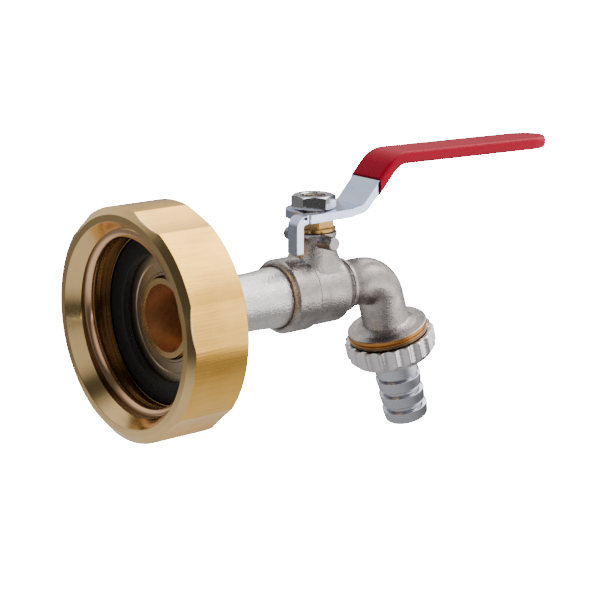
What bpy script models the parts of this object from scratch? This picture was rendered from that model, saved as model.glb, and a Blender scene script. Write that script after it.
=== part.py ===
"""Tank outlet ball valve with a coarse-thread coupling nut, a curved spout and a hose tail.

Metres, +Z up. The pipe axis is +X and the origin is the centre of the coupling nut's front face.
"""
import math

import bmesh
import bpy
from mathutils import Matrix, Vector

# Shared clearances and facet counts
GAP = 0.0003
CUT_OVERRUN = 0.002
SINK = 0.0004
MERGE = 0.00001
STEPS_WIDE = 60
STEPS_BODY = 40
STEPS_SMALL = 28
STEPS_HIDDEN = 20
STEPS_LUG = 14

# Coupling nut, S60 x 6 coarse thread inside, six spanner flutes outside
NUT_RADIUS = 0.0375
NUT_LENGTH = 0.0240
NUT_FRONT_STEP = 0.0025
NUT_REAR_STEP = 0.0040
NUT_MOUTH_WALL = 0.0047
NUT_THREAD_WALL = 0.0075
THREAD_HEIGHT = 0.0023
NUT_FRONT_RING_RADIUS = NUT_RADIUS - NUT_FRONT_STEP
NUT_FRONT_CHAMFER = 0.0015
NUT_REAR_CHAMFER = 0.0028
NUT_REAR_FACE_RADIUS = NUT_RADIUS - NUT_REAR_STEP
NUT_MOUTH_RADIUS = NUT_RADIUS - NUT_MOUTH_WALL
NUT_LEAD_IN = 0.0045
THREAD_MAJOR_RADIUS = NUT_RADIUS - NUT_THREAD_WALL
THREAD_CREST_RADIUS = THREAD_MAJOR_RADIUS - THREAD_HEIGHT
THREAD_PITCH = 0.0060
THREAD_START = 0.0054
THREAD_CREST_WIDTH = 0.0028
THREAD_ROOT_WIDTH = 0.0044
THREAD_GROOVE_END = 0.0138
THREAD_SWEEP_DEG = 370.0
THREAD_RUN_OUT_DEG = 40.0
THREAD_STEP_DEG = 10.0
FLUTE_COUNT = 6
FLUTE_FIRST_DEG = 10.0
FLUTE_HALF_DEG = 10.5
FLUTE_DEPTH = 0.0010
FLUTE_POINTS = 8
FLUTE_OVERREACH_SHARE = 1.12

# Adapter flange and tank gasket
FLANGE_STEP = 0.0028
FLANGE_RADIUS = THREAD_MAJOR_RADIUS - FLANGE_STEP
FLANGE_FACE = 0.0177
FLANGE_THICKNESS = 0.0028
NUT_HOLE_CLEARANCE = 0.0025
HUB_RADIUS = 0.0175
HUB_END = 0.0296
HUB_CHAMFER = 0.0008
GASKET_OVERHANG = 0.0001
GASKET_WIDTH = 0.0055
GASKET_OUTER_RADIUS = FLANGE_RADIUS + GASKET_OVERHANG
GASKET_INNER_RADIUS = GASKET_OUTER_RADIUS - GASKET_WIDTH
GASKET_THICKNESS = 0.0031

# Inlet tail, G3/4 outside thread at the tank end, screwed into the valve body at the other
TAIL_END = 0.0162
TAIL_THREAD_RADIUS = 0.01322
TAIL_END_CHAMFER = 0.0005
TAIL_MOUTH_BORE = 0.01094
TAIL_MOUTH_DEPTH = 0.0130
TAIL_BORE = 0.0070
TAIL_SEAL_THICKNESS = 0.0012
TAIL_COLLAR_RADIUS = 0.0150
TAIL_COLLAR_LENGTH = 0.0022
TAIL_COLLAR_BLEND = 0.0030
TAIL_NECK_RADIUS = 0.0096
TAIL_FOOT_RADIUS = 0.0099
TAIL_FOOT_REACH = 0.0103
TAIL_FOOT_TAPER = 0.0050
TAIL_SCREW_RADIUS = 0.0103

# Valve body, cast in one with its elbow spout
STEM_X = 0.07714
MOUTH_TO_STEM = 0.01654
BODY_MOUTH = STEM_X - MOUTH_TO_STEM
BODY_MOUTH_RADIUS = 0.0117
BODY_MOUTH_CHAMFER = 0.0015
BODY_COLLAR_RADIUS = 0.01255
COLLAR_TO_STEM = 0.00654
BODY_COLLAR_END = STEM_X - COLLAR_TO_STEM
BODY_COLLAR_STEP = 0.0009
BODY_RADIUS = 0.0119
BODY_TAPER_RADIUS = 0.0117
STEM_TO_SHOULDER = 0.00666
BODY_SHOULDER = STEM_X + STEM_TO_SHOULDER
STEM_TO_SHOULDER_END = 0.01126
BODY_SHOULDER_END = STEM_X + STEM_TO_SHOULDER_END
BODY_SHOULDER_END_RADIUS = 0.0090
BODY_SHOULDER_POINTS = 5
BODY_BEAD_HEIGHT = 0.0002
BODY_BEAD_WIDTH = 0.0012
SPOUT_RADIUS = 0.0081
SPOUT_BORE = 0.0056
SPOUT_BEND_RADIUS = 0.0095
STEM_TO_SPOUT_CORNER = 0.02832
SPOUT_CORNER_X = STEM_X + STEM_TO_SPOUT_CORNER
SPOUT_TILT_DEG = 16.5
SPOUT_DROP = 0.0181
STEM_TO_SPOUT_START = 0.00786
SPOUT_START = STEM_X + STEM_TO_SPOUT_START
SPOUT_BEND_POINTS = 9
SPOUT_BEVEL_RESOLUTION = 12

# Ball, seats and the chamber that holds them
BALL_RADIUS = 0.0095
BALL_PORT_RADIUS = 0.0060
BALL_SLOT_WIDTH = 0.0032
BALL_SLOT_FLOOR = 0.0074
CHAMBER_RADIUS = 0.0099
SEAT_INNER_RADIUS = 0.0063
SEAT_OUTER_RADIUS = 0.0094
SEAT_BACK = 0.0086
SEAT_LIP = 0.0045
SEAT_CURVE_POINTS = 5

# Neck, stem and gland
NECK_RADIUS = 0.0076
NECK_TOP = 0.0205
NECK_FOOT_HEIGHT = 0.0080
NECK_FOOT_LENGTH = 0.0118
NECK_FOOT_WIDTH = 0.0092
NECK_BLEND_HEIGHT = 0.0165
NECK_BLEND_STEPS = 4
STEM_RADIUS = 0.0039
STEM_HOLE_RADIUS = 0.0042
STEM_SHOULDER_RADIUS = 0.0048
STEM_SHOULDER_BOTTOM = 0.0101
STEM_SHOULDER_HEIGHT = 0.0020
STEM_TOP = 0.0315
STEM_TANG_LENGTH = 0.0075
STEM_FLAT_HALF = 0.0029
WASHER_THICKNESS = 0.0008
ORING_SECTION_RADIUS = 0.00035
ORING_SECTION_POINTS = 6
ORING_GROOVE_RADIUS = 0.0029
ORING_GROOVE_HEIGHT = 0.0014
STEM_THROAT_HEIGHT = 0.0020
PACKING_POCKET_RADIUS = 0.0062
PACKING_HEIGHT = 0.0024
GLAND_COLLAR_RADIUS = 0.0074
GLAND_COLLAR_HEIGHT = 0.0011
GLAND_ACROSS_FLATS = 0.0120
GLAND_CHAMFER = 0.0005
GLAND_TURN_DEG = 36.0

# Stop lugs on the neck
LUG_RADIUS = 0.0023
LUG_REACH = 0.0134
LUG_OFFSET = 0.0019
LUG_HEIGHT = 0.0181

# Lever, pressed from one strip; places along it are counted from the stem
LEVER_THICKNESS = 0.0028
LEVER_TOP = 0.0280
LEVER_PLATE_HALF = 0.0094
LEVER_ARM_HALF = 0.0070
LEVER_SHOULDER_START = 0.0088
LEVER_SHOULDER_END = 0.0142
LEVER_FIRST_BEND = 0.0165
LEVER_FIRST_RADIUS = 0.0048
LEVER_SECOND_BEND = 0.0314
LEVER_SECOND_RADIUS = 0.0100
LEVER_RISE_DEG = 46.5
LEVER_DROOP_DEG = 1.35
LEVER_TIP = 0.1061
LEVER_TIP_SQUARE_SHARE = 0.25
LEVER_BEND_POINTS = 7
LEVER_TIP_POINTS = 12
LEVER_REAR_POINTS = 12
TAB_OUTER_FACE = 0.0146
TAB_EDGE = 0.0045
TAB_BOTTOM = 0.0156
TAB_BEND_RADIUS = 0.0024
STOP_TAB_INNER_FACE = 0.0097
STOP_TAB_WIDTH = 0.0050
NOTCH_RADIUS = 0.0008
STEM_HOLE_FLAT_HALF = 0.0032
GRIP_THICKNESS = 0.0005
GRIP_START = 0.0230
GRIP_CORNER_RADIUS = 0.0016
GRIP_CORNER_POINTS = 3
GRIP_STATIONS = 10
LEVER_NUT_ACROSS_FLATS = 0.0130
LEVER_NUT_HEIGHT = 0.0044
LEVER_NUT_CHAMFER = 0.0010
LEVER_NUT_TURN_DEG = 53.0

# Outlet, hose union nut, washer and hose tail; stations count down the outlet axis from its flange
OUTLET_FLANGE_RADIUS = 0.0141
OUTLET_EDGE = 0.0003
OUTLET_GROOVE_START = 0.0014
OUTLET_GROOVE_END = 0.0020
OUTLET_GROOVE_DEPTH = 0.0005
OUTLET_FLANGE_THICKNESS = 0.0034
OUTLET_FOOT_REACH = 0.0024
OUTLET_FOOT_FLARE = 0.0024
OUTLET_THREAD_RADIUS = 0.0130
OUTLET_THREAD_END = 0.0086
OUTLET_THREAD_CHAMFER = 0.0006
OUTLET_BORE = 0.0082
OUTLET_BORE_DEPTH = 0.0061
UNION_RADIUS = 0.0160
UNION_TOP_CHAMFER = 0.0006
UNION_CONE_START = 0.0095
UNION_CONE_MID = 0.0118
UNION_CONE_MID_RADIUS = 0.0141
UNION_BOTTOM = 0.0142
UNION_BOTTOM_RADIUS = 0.0094
UNION_HOLE_CLEARANCE = 0.0010
UNION_FLUTE_COUNT = 20
UNION_FLUTE_POINTS = 5
UNION_FLUTE_DEPTH = 0.0007
WASHER_RING_THICKNESS = 0.0015
WASHER_RING_INNER = 0.0066
HOSE_COLLAR_RADIUS = 0.0112
HOSE_COLLAR_THICKNESS = 0.0017
HOSE_SHANK_RADIUS = 0.0077
HOSE_BORE = 0.0052
HOSE_END = 0.0367
HOSE_END_RADIUS = 0.0066
HOSE_END_ROUND = 0.0014
BARB_COUNT = 3
BARB_FIRST_GROOVE = 0.0195
BARB_SPACING = 0.0061
BARB_GROOVE_RADIUS = 0.0071
BARB_PEAK_RADIUS = 0.0081
BARB_TAIL_RADIUS = 0.0077
BARB_GROOVE_HALF = 0.0006

# Values that follow from the sizes above
TAIL_FOOT_START = BODY_MOUTH - TAIL_FOOT_REACH
TAIL_FOOT_END = TAIL_FOOT_START + TAIL_FOOT_TAPER
TAIL_INNER_END = STEM_X - SEAT_BACK - GAP
BODY_STEP = TAIL_INNER_END - GAP
TAIL_STEP = BODY_STEP - GAP
CHAMBER_END = STEM_X + SEAT_BACK + GAP
TAIL_COLLAR = HUB_END + TAIL_SEAL_THICKNESS + 2 * GAP
THRUST_WASHER = STEM_SHOULDER_BOTTOM + STEM_SHOULDER_HEIGHT + GAP
THROAT_START = THRUST_WASHER + WASHER_THICKNESS + GAP
THROAT_END = THROAT_START + STEM_THROAT_HEIGHT
PACKING_START = THROAT_END + GAP
GLAND_START = PACKING_START + PACKING_HEIGHT + GAP
LEVER_CENTRE_Z = LEVER_TOP - LEVER_THICKNESS / 2
PLATE_BOTTOM = LEVER_TOP - LEVER_THICKNESS
UNION_TOP = OUTLET_FLANGE_THICKNESS + GAP
HOSE_WASHER = OUTLET_THREAD_END + GAP
HOSE_COLLAR = HOSE_WASHER + WASHER_RING_THICKNESS + GAP
SPOUT_TILT = math.radians(SPOUT_TILT_DEG)
OUTLET_DIRECTION = Vector((math.sin(SPOUT_TILT), 0.0, -math.cos(SPOUT_TILT)))
OUTLET_CENTRE = Vector((SPOUT_CORNER_X, 0.0, 0.0)) + OUTLET_DIRECTION * SPOUT_DROP

# Finishes: base colour, metallic, roughness
FINISHES = {
    "brass": ((0.78, 0.57, 0.27, 1.0), 1.0, 0.28),
    "nickel": ((0.60, 0.57, 0.54, 1.0), 1.0, 0.42),
    "chrome": ((0.72, 0.74, 0.78, 1.0), 1.0, 0.15),
    "zinc_steel": ((0.62, 0.66, 0.74, 1.0), 1.0, 0.24),
    "rubber": ((0.02, 0.02, 0.022, 1.0), 0.0, 0.6),
    "sealing_plastic": ((0.86, 0.86, 0.84, 1.0), 0.0, 0.5),
    "dipped_vinyl": ((0.55, 0.02, 0.04, 1.0), 0.0, 0.32),
}


def clear_scene():
    for obj in list(bpy.data.objects):
        bpy.data.objects.remove(obj, do_unlink=True)


def new_collection(name):
    collection = bpy.data.collections.new(name)
    bpy.context.scene.collection.children.link(collection)
    return collection


def add_object(name, mesh, finish=None):
    """Put a mesh in the scene, as a named piece with its own finish or else as a cutter."""
    obj = bpy.data.objects.new(name, mesh)
    if finish is None:
        cutters.objects.link(obj)
        obj.hide_render = True
        obj.display_type = "WIRE"
        return obj
    parts.objects.link(obj)
    colour, metallic, roughness = FINISHES[finish]
    material = bpy.data.materials.new(name)
    material.use_nodes = True
    shader = material.node_tree.nodes["Principled BSDF"]
    shader.inputs["Base Color"].default_value = colour
    shader.inputs["Metallic"].default_value = metallic
    shader.inputs["Roughness"].default_value = roughness
    mesh.materials.append(material)
    return obj


def evaluated_mesh(obj):
    depsgraph = bpy.context.evaluated_depsgraph_get()
    depsgraph.update()
    return bpy.data.meshes.new_from_object(obj.evaluated_get(depsgraph), depsgraph=depsgraph)


def settle(obj, sharp_deg=32.0):
    """Turn the object's modifiers into plain mesh and shade its round sides smooth."""
    mesh = evaluated_mesh(obj)
    obj.modifiers.clear()
    old = obj.data
    obj.data = mesh
    bpy.data.meshes.remove(old)
    mesh.shade_smooth()
    mesh.set_sharp_from_angle(angle=math.radians(sharp_deg))
    return obj


def boolean(obj, other, operation):
    modifier = obj.modifiers.new(operation.lower(), "BOOLEAN")
    modifier.operation = operation
    modifier.solver = "EXACT"
    modifier.object = other
    return obj


def turned_section(name, points, closed, steps, finish=None):
    """Turn (station, radius) points about local Z; they run down the outer side first."""
    count = len(points)
    edges = [(i, i + 1) for i in range(count - 1)]
    if closed:
        edges.append((count - 1, 0))
    mesh = bpy.data.meshes.new(name)
    mesh.from_pydata([(radius, 0.0, station) for station, radius in points], edges, [])
    obj = add_object(name, mesh, finish)
    screw = obj.modifiers.new("turn", "SCREW")
    screw.axis = "Z"
    screw.steps = steps
    screw.render_steps = steps
    screw.use_merge_vertices = True
    screw.merge_threshold = MERGE
    return obj


def turned_ring(name, outer, inner, steps, finish=None):
    """A turned piece with a hole; both sides have rising stations."""
    return turned_section(name, list(reversed(outer)) + list(inner), True, steps, finish)


def turned_solid(name, outer, steps, finish=None):
    """A turned piece that is solid to its axis."""
    profile = [(outer[-1][0], 0.0)] + list(reversed(outer)) + [(outer[0][0], 0.0)]
    return turned_section(name, profile, False, steps, finish)


def along_x(obj, x=0.0, side=1.0):
    """Lay a turned piece along the pipe, with its stations read as places on X."""
    obj.location = (x, 0.0, 0.0)
    obj.rotation_euler = (0.0, math.radians(90.0) * side, 0.0)
    return obj


def on_stem(obj):
    obj.location = (STEM_X, 0.0, 0.0)
    return obj


def on_outlet(obj):
    obj.location = OUTLET_CENTRE
    obj.rotation_euler = (0.0, -SPOUT_TILT, 0.0)
    return obj


def down(profile):
    """Turn stations counted down the outlet axis into heights that rise along it."""
    return [(-station, radius) for station, radius in reversed(profile)]


def mesh_from_bmesh(name, bm, finish=None):
    bmesh.ops.recalc_face_normals(bm, faces=bm.faces)
    mesh = bpy.data.meshes.new(name)
    bm.to_mesh(mesh)
    bm.free()
    return add_object(name, mesh, finish)


def loft(name, sections, finish=None):
    """Skin a closed solid over rings of points that have equal counts."""
    bm = bmesh.new()
    rings = [[bm.verts.new(point) for point in section] for section in sections]
    count = len(rings[0])
    for lower, upper in zip(rings, rings[1:]):
        for i in range(count):
            j = (i + 1) % count
            bm.faces.new((lower[i], lower[j], upper[j], upper[i]))
    bm.faces.new(list(reversed(rings[0])))
    bm.faces.new(rings[-1])
    return mesh_from_bmesh(name, bm, finish)


def block(name, low, high):
    """A box between two corners, made from a unit cube."""
    bm = bmesh.new()
    bmesh.ops.create_cube(bm, size=1.0)
    low = Vector(low)
    high = Vector(high)
    bmesh.ops.scale(bm, vec=high - low, verts=bm.verts)
    bmesh.ops.translate(bm, vec=(low + high) / 2, verts=bm.verts)
    return mesh_from_bmesh(name, bm)


def hexagon(name, across_flats, low, high, turn_deg, finish=None):
    """A six-sided bar along Z between two heights."""
    bm = bmesh.new()
    corner = across_flats / math.sqrt(3.0)
    bmesh.ops.create_cone(bm, cap_ends=True, segments=6, radius1=corner, radius2=corner, depth=high - low)
    bmesh.ops.rotate(bm, matrix=Matrix.Rotation(math.radians(turn_deg), 3, "Z"), verts=bm.verts)
    bmesh.ops.translate(bm, vec=Vector((0.0, 0.0, (low + high) / 2)), verts=bm.verts)
    return mesh_from_bmesh(name, bm, finish)


def curve_to_mesh(name, curve, finish=None):
    """Turn a curve into a plain mesh piece with its seams closed."""
    temporary = bpy.data.objects.new(name + "_curve", curve)
    cutters.objects.link(temporary)
    mesh = evaluated_mesh(temporary)
    bpy.data.objects.remove(temporary, do_unlink=True)
    bm = bmesh.new()
    bm.from_mesh(mesh)
    bpy.data.meshes.remove(mesh)
    bmesh.ops.remove_doubles(bm, verts=bm.verts, dist=MERGE)
    return mesh_from_bmesh(name, bm, finish)


def flat_outline(name, points, half_depth, finish=None):
    """A flat closed outline in local XY, thickened both ways along local Z."""
    curve = bpy.data.curves.new(name, "CURVE")
    curve.dimensions = "2D"
    curve.fill_mode = "BOTH"
    curve.extrude = half_depth
    spline = curve.splines.new("POLY")
    spline.points.add(len(points) - 1)
    for point, (x, y) in zip(spline.points, points):
        point.co = (x, y, 0.0, 1.0)
    spline.use_cyclic_u = True
    return curve_to_mesh(name, curve, finish)


def tube_along(name, points, radius):
    curve = bpy.data.curves.new(name, "CURVE")
    curve.dimensions = "3D"
    curve.bevel_depth = radius
    curve.bevel_resolution = SPOUT_BEVEL_RESOLUTION
    curve.use_fill_caps = True
    spline = curve.splines.new("POLY")
    spline.points.add(len(points) - 1)
    for point, place in zip(spline.points, points):
        point.co = (place[0], place[1], place[2], 1.0)
    return curve_to_mesh(name, curve)


def arc_points(radius, start, end, count, centre=(0.0, 0.0)):
    points = []
    for i in range(count + 1):
        angle = start + (end - start) * i / count
        points.append((centre[0] + radius * math.cos(angle), centre[1] + radius * math.sin(angle)))
    return points


def bent_path(vertices, radii):
    """A flat path with rounded corners, as (point, direction) pairs."""
    path = [(Vector(vertices[0]), (Vector(vertices[1]) - Vector(vertices[0])).normalized())]
    for i, radius in enumerate(radii, start=1):
        corner = Vector(vertices[i])
        run_in = (corner - Vector(vertices[i - 1])).normalized()
        run_out = (Vector(vertices[i + 1]) - corner).normalized()
        turn = math.atan2(run_in.x * run_out.y - run_in.y * run_out.x, run_in.dot(run_out))
        side = math.copysign(1.0, turn)
        start = corner - run_in * radius * math.tan(abs(turn) / 2)
        centre = start + run_in.orthogonal() * radius * side
        for k in range(LEVER_BEND_POINTS + 1):
            direction = Matrix.Rotation(turn * k / LEVER_BEND_POINTS, 2) @ run_in
            path.append((centre - direction.orthogonal() * radius * side, direction))
    last = Vector(vertices[-1])
    path.append((last, (last - Vector(vertices[-2])).normalized()))
    return path


def strip_outline(path, half_thickness):
    """Outline of a strip of even thickness that follows a bent path."""
    upper = [point + direction.orthogonal() * half_thickness for point, direction in path]
    lower = [point - direction.orthogonal() * half_thickness for point, direction in path]
    return [tuple(point) for point in upper] + [tuple(point) for point in reversed(lower)]


def flute_cutter(index):
    """One wide and shallow spanner flute of the coupling nut."""
    half_angle = math.radians(FLUTE_HALF_DEG)
    half_width = NUT_RADIUS * math.sin(half_angle)
    edge_rise = NUT_RADIUS * math.cos(half_angle) - NUT_RADIUS + FLUTE_DEPTH
    outline = []
    for i in range(FLUTE_POINTS + 1):
        share = (2 * i / FLUTE_POINTS - 1) * FLUTE_OVERREACH_SHARE
        outline.append((share * half_width, NUT_RADIUS - FLUTE_DEPTH + edge_rise * share * share))
    outline.append((half_width * FLUTE_OVERREACH_SHARE, NUT_RADIUS + CUT_OVERRUN))
    outline.append((-half_width * FLUTE_OVERREACH_SHARE, NUT_RADIUS + CUT_OVERRUN))
    ends = (-CUT_OVERRUN, NUT_LENGTH + CUT_OVERRUN)
    cutter = loft(f"flute_cutter_{index}", [[(x, y, z) for y, z in outline] for x in ends])
    turn = math.radians(90.0 - FLUTE_FIRST_DEG - index * 360.0 / FLUTE_COUNT)
    cutter.data.transform(Matrix.Rotation(turn, 4, "X"))
    return cutter


def thread_ridge():
    """Helical ridge of the coarse inside thread, fading out at both ends."""
    base = THREAD_MAJOR_RADIUS + SINK
    buried = THREAD_MAJOR_RADIUS + SINK / 2
    sections = []
    count = round(THREAD_SWEEP_DEG / THREAD_STEP_DEG)
    for i in range(count + 1):
        degrees = THREAD_SWEEP_DEG * i / count
        fade = min(1.0, degrees / THREAD_RUN_OUT_DEG, (THREAD_SWEEP_DEG - degrees) / THREAD_RUN_OUT_DEG)
        crest = buried - (buried - THREAD_CREST_RADIUS) * fade
        angle = math.radians(degrees)
        centre = THREAD_START + THREAD_PITCH * degrees / 360.0
        ring = []
        for offset, radius in ((-THREAD_ROOT_WIDTH / 2, base), (-THREAD_CREST_WIDTH / 2, crest),
                               (THREAD_CREST_WIDTH / 2, crest), (THREAD_ROOT_WIDTH / 2, base)):
            ring.append((centre + offset, -radius * math.sin(angle), radius * math.cos(angle)))
        sections.append(ring)
    return loft("thread_ridge", sections)


def make_coupling_nut():
    outer = [(0.0, NUT_FRONT_RING_RADIUS), (NUT_FRONT_CHAMFER, NUT_RADIUS),
             (NUT_LENGTH - NUT_REAR_CHAMFER, NUT_RADIUS), (NUT_LENGTH, NUT_REAR_FACE_RADIUS)]
    shoulder = FLANGE_FACE + FLANGE_THICKNESS + GAP
    pocket = FLANGE_RADIUS + GAP
    hole = HUB_RADIUS + NUT_HOLE_CLEARANCE
    inner = [(0.0, NUT_MOUTH_RADIUS), (NUT_LEAD_IN, THREAD_MAJOR_RADIUS),
             (THREAD_GROOVE_END, THREAD_MAJOR_RADIUS), (THREAD_GROOVE_END, pocket),
             (shoulder, pocket), (shoulder, hole), (NUT_LENGTH, hole)]
    nut = along_x(turned_ring("coupling_nut", outer, inner, STEPS_WIDE, "brass"))
    boolean(nut, thread_ridge(), "UNION")
    for index in range(FLUTE_COUNT):
        boolean(nut, flute_cutter(index), "DIFFERENCE")
    return settle(nut)


def make_tank_gasket():
    back = FLANGE_FACE - GAP
    front = back - GASKET_THICKNESS
    outer = [(front, GASKET_OUTER_RADIUS), (back, GASKET_OUTER_RADIUS)]
    inner = [(front, GASKET_INNER_RADIUS), (back, GASKET_INNER_RADIUS)]
    return settle(along_x(turned_ring("tank_gasket", outer, inner, STEPS_BODY, "rubber")))


def make_adapter_flange():
    back = FLANGE_FACE + FLANGE_THICKNESS
    bore = TAIL_THREAD_RADIUS + GAP
    outer = [(FLANGE_FACE, FLANGE_RADIUS), (back, FLANGE_RADIUS), (back, HUB_RADIUS),
             (HUB_END - HUB_CHAMFER, HUB_RADIUS), (HUB_END, HUB_RADIUS - HUB_CHAMFER)]
    inner = [(FLANGE_FACE, bore), (HUB_END, bore)]
    return settle(along_x(turned_ring("adapter_flange", outer, inner, STEPS_BODY, "brass")))


def make_tail_seal():
    start = HUB_END + GAP
    end = start + TAIL_SEAL_THICKNESS
    bore = TAIL_THREAD_RADIUS + GAP
    outer = [(start, TAIL_COLLAR_RADIUS), (end, TAIL_COLLAR_RADIUS)]
    inner = [(start, bore), (end, bore)]
    return settle(along_x(turned_ring("tail_seal", outer, inner, STEPS_SMALL, "rubber")))


def make_inlet_tail():
    collar_end = TAIL_COLLAR + TAIL_COLLAR_LENGTH
    pilot = CHAMBER_RADIUS - GAP
    outer = [(TAIL_END, TAIL_THREAD_RADIUS - TAIL_END_CHAMFER),
             (TAIL_END + TAIL_END_CHAMFER, TAIL_THREAD_RADIUS),
             (TAIL_COLLAR, TAIL_THREAD_RADIUS), (TAIL_COLLAR, TAIL_COLLAR_RADIUS),
             (collar_end, TAIL_COLLAR_RADIUS), (collar_end, TAIL_NECK_RADIUS + TAIL_COLLAR_BLEND),
             (collar_end + TAIL_COLLAR_BLEND, TAIL_NECK_RADIUS), (TAIL_FOOT_START, TAIL_NECK_RADIUS),
             (TAIL_FOOT_END, TAIL_FOOT_RADIUS), (BODY_MOUTH, TAIL_SCREW_RADIUS),
             (TAIL_STEP, TAIL_SCREW_RADIUS), (TAIL_STEP, pilot), (TAIL_INNER_END, pilot)]
    neck_bore = TAIL_END + TAIL_MOUTH_DEPTH
    inner = [(TAIL_END, TAIL_MOUTH_BORE), (neck_bore, TAIL_MOUTH_BORE),
             (neck_bore + TAIL_COLLAR_BLEND, TAIL_BORE), (TAIL_INNER_END, TAIL_BORE)]
    return settle(along_x(turned_ring("inlet_tail", outer, inner, STEPS_BODY, "nickel")))


def spout_path():
    """Centre line of the spout, from inside the body round the bend to its flange."""
    sweep = math.pi / 2 - SPOUT_TILT
    bend_start = SPOUT_CORNER_X - SPOUT_BEND_RADIUS * math.tan(sweep / 2)
    points = [(SPOUT_START, 0.0, 0.0)]
    for i in range(SPOUT_BEND_POINTS + 1):
        angle = sweep * i / SPOUT_BEND_POINTS
        points.append((bend_start + SPOUT_BEND_RADIUS * math.sin(angle), 0.0,
                       -SPOUT_BEND_RADIUS * (1 - math.cos(angle))))
    points.append(tuple(OUTLET_CENTRE + OUTLET_DIRECTION * OUTLET_GROOVE_START))
    return points


def neck_foot():
    """Cast blend between the round neck and the barrel, wider along the pipe."""
    tucked = NECK_RADIUS - SINK / 2
    sections = []
    for step in range(NECK_BLEND_STEPS + 1):
        rise = step / NECK_BLEND_STEPS
        spread = (1 - rise) * (1 - rise)
        z = NECK_FOOT_HEIGHT + (NECK_BLEND_HEIGHT - NECK_FOOT_HEIGHT) * rise
        half_length = tucked + (NECK_FOOT_LENGTH - tucked) * spread
        half_width = tucked + (NECK_FOOT_WIDTH - tucked) * spread
        ring = []
        for i in range(STEPS_SMALL):
            angle = 2 * math.pi * i / STEPS_SMALL
            ring.append((STEM_X + half_length * math.cos(angle), half_width * math.sin(angle), z))
        sections.append(ring)
    return loft("neck_foot", sections)


def stop_lugs():
    lugs = turned_solid("lugs", [(-LUG_REACH, LUG_RADIUS), (LUG_REACH, LUG_RADIUS)], STEPS_LUG)
    lugs.location = (STEM_X - LUG_OFFSET, 0.0, LUG_HEIGHT)
    lugs.rotation_euler = (math.radians(90.0), 0.0, 0.0)
    return lugs


def outlet_solid():
    groove_middle = (OUTLET_GROOVE_START + OUTLET_GROOVE_END) / 2
    return on_outlet(turned_solid("outlet", down([
        (-OUTLET_FOOT_REACH, SPOUT_RADIUS - SINK),
        (-OUTLET_FOOT_REACH / 3, SPOUT_RADIUS + OUTLET_FOOT_FLARE / 3),
        (0.0, SPOUT_RADIUS + OUTLET_FOOT_FLARE), (0.0, OUTLET_FLANGE_RADIUS - OUTLET_EDGE),
        (OUTLET_EDGE, OUTLET_FLANGE_RADIUS), (OUTLET_GROOVE_START, OUTLET_FLANGE_RADIUS),
        (groove_middle, OUTLET_FLANGE_RADIUS - OUTLET_GROOVE_DEPTH),
        (OUTLET_GROOVE_END, OUTLET_FLANGE_RADIUS), (OUTLET_FLANGE_THICKNESS, OUTLET_FLANGE_RADIUS),
        (OUTLET_FLANGE_THICKNESS, OUTLET_THREAD_RADIUS),
        (OUTLET_THREAD_END - OUTLET_THREAD_CHAMFER, OUTLET_THREAD_RADIUS),
        (OUTLET_THREAD_END, OUTLET_THREAD_RADIUS - OUTLET_THREAD_CHAMFER)]), STEPS_BODY))


def make_valve_body():
    outer = [(BODY_MOUTH, BODY_MOUTH_RADIUS), (BODY_MOUTH + BODY_MOUTH_CHAMFER, BODY_COLLAR_RADIUS),
             (BODY_COLLAR_END, BODY_COLLAR_RADIUS), (BODY_COLLAR_END + BODY_COLLAR_STEP, BODY_RADIUS)]
    for i in range(BODY_SHOULDER_POINTS + 1):
        share = i / BODY_SHOULDER_POINTS
        level = (1 + math.cos(math.pi * share)) / 2
        outer.append((BODY_SHOULDER + (BODY_SHOULDER_END - BODY_SHOULDER) * share,
                      BODY_SHOULDER_END_RADIUS + (BODY_TAPER_RADIUS - BODY_SHOULDER_END_RADIUS) * level))
    bead = BODY_SHOULDER_END_RADIUS + BODY_BEAD_HEIGHT
    outer += [(BODY_SHOULDER_END, bead), (BODY_SHOULDER_END + BODY_BEAD_WIDTH, bead),
              (BODY_SHOULDER_END + 2 * BODY_BEAD_WIDTH, SPOUT_RADIUS - SINK)]
    body = along_x(turned_solid("valve_body", outer, STEPS_BODY, "nickel"))
    neck = turned_solid("neck", [(0.0, NECK_RADIUS), (NECK_TOP, NECK_RADIUS)], STEPS_SMALL)
    for solid in (on_stem(neck), neck_foot(), stop_lugs(), tube_along("spout", spout_path(), SPOUT_RADIUS),
                  outlet_solid()):
        boolean(body, solid, "UNION")
    screw_bore = TAIL_SCREW_RADIUS + GAP
    chamber = along_x(turned_solid("chamber", [
        (BODY_MOUTH - CUT_OVERRUN, screw_bore), (BODY_STEP, screw_bore),
        (BODY_STEP, CHAMBER_RADIUS), (CHAMBER_END, CHAMBER_RADIUS)], STEPS_BODY))
    shoulder_bore = STEM_SHOULDER_RADIUS + GAP
    stem_bores = on_stem(turned_solid("stem_bores", [
        (CHAMBER_RADIUS / 2, shoulder_bore), (THROAT_START, shoulder_bore), (THROAT_START, STEM_HOLE_RADIUS),
        (THROAT_END, STEM_HOLE_RADIUS), (THROAT_END, PACKING_POCKET_RADIUS),
        (NECK_TOP + CUT_OVERRUN, PACKING_POCKET_RADIUS)], STEPS_SMALL))
    waterway = tube_along("waterway", spout_path(), SPOUT_BORE)
    bore_start = OUTLET_THREAD_END - OUTLET_BORE_DEPTH
    bore_throat = SPOUT_BORE - SINK
    outlet_bore = on_outlet(turned_solid("outlet_bore", down([
        (bore_start - OUTLET_BORE + bore_throat, bore_throat), (bore_start, OUTLET_BORE),
        (OUTLET_THREAD_END + CUT_OVERRUN, OUTLET_BORE)]), STEPS_SMALL))
    for hollow in (stem_bores, waterway, outlet_bore):
        boolean(chamber, hollow, "UNION")
    boolean(body, chamber, "DIFFERENCE")
    return settle(body)


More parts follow.
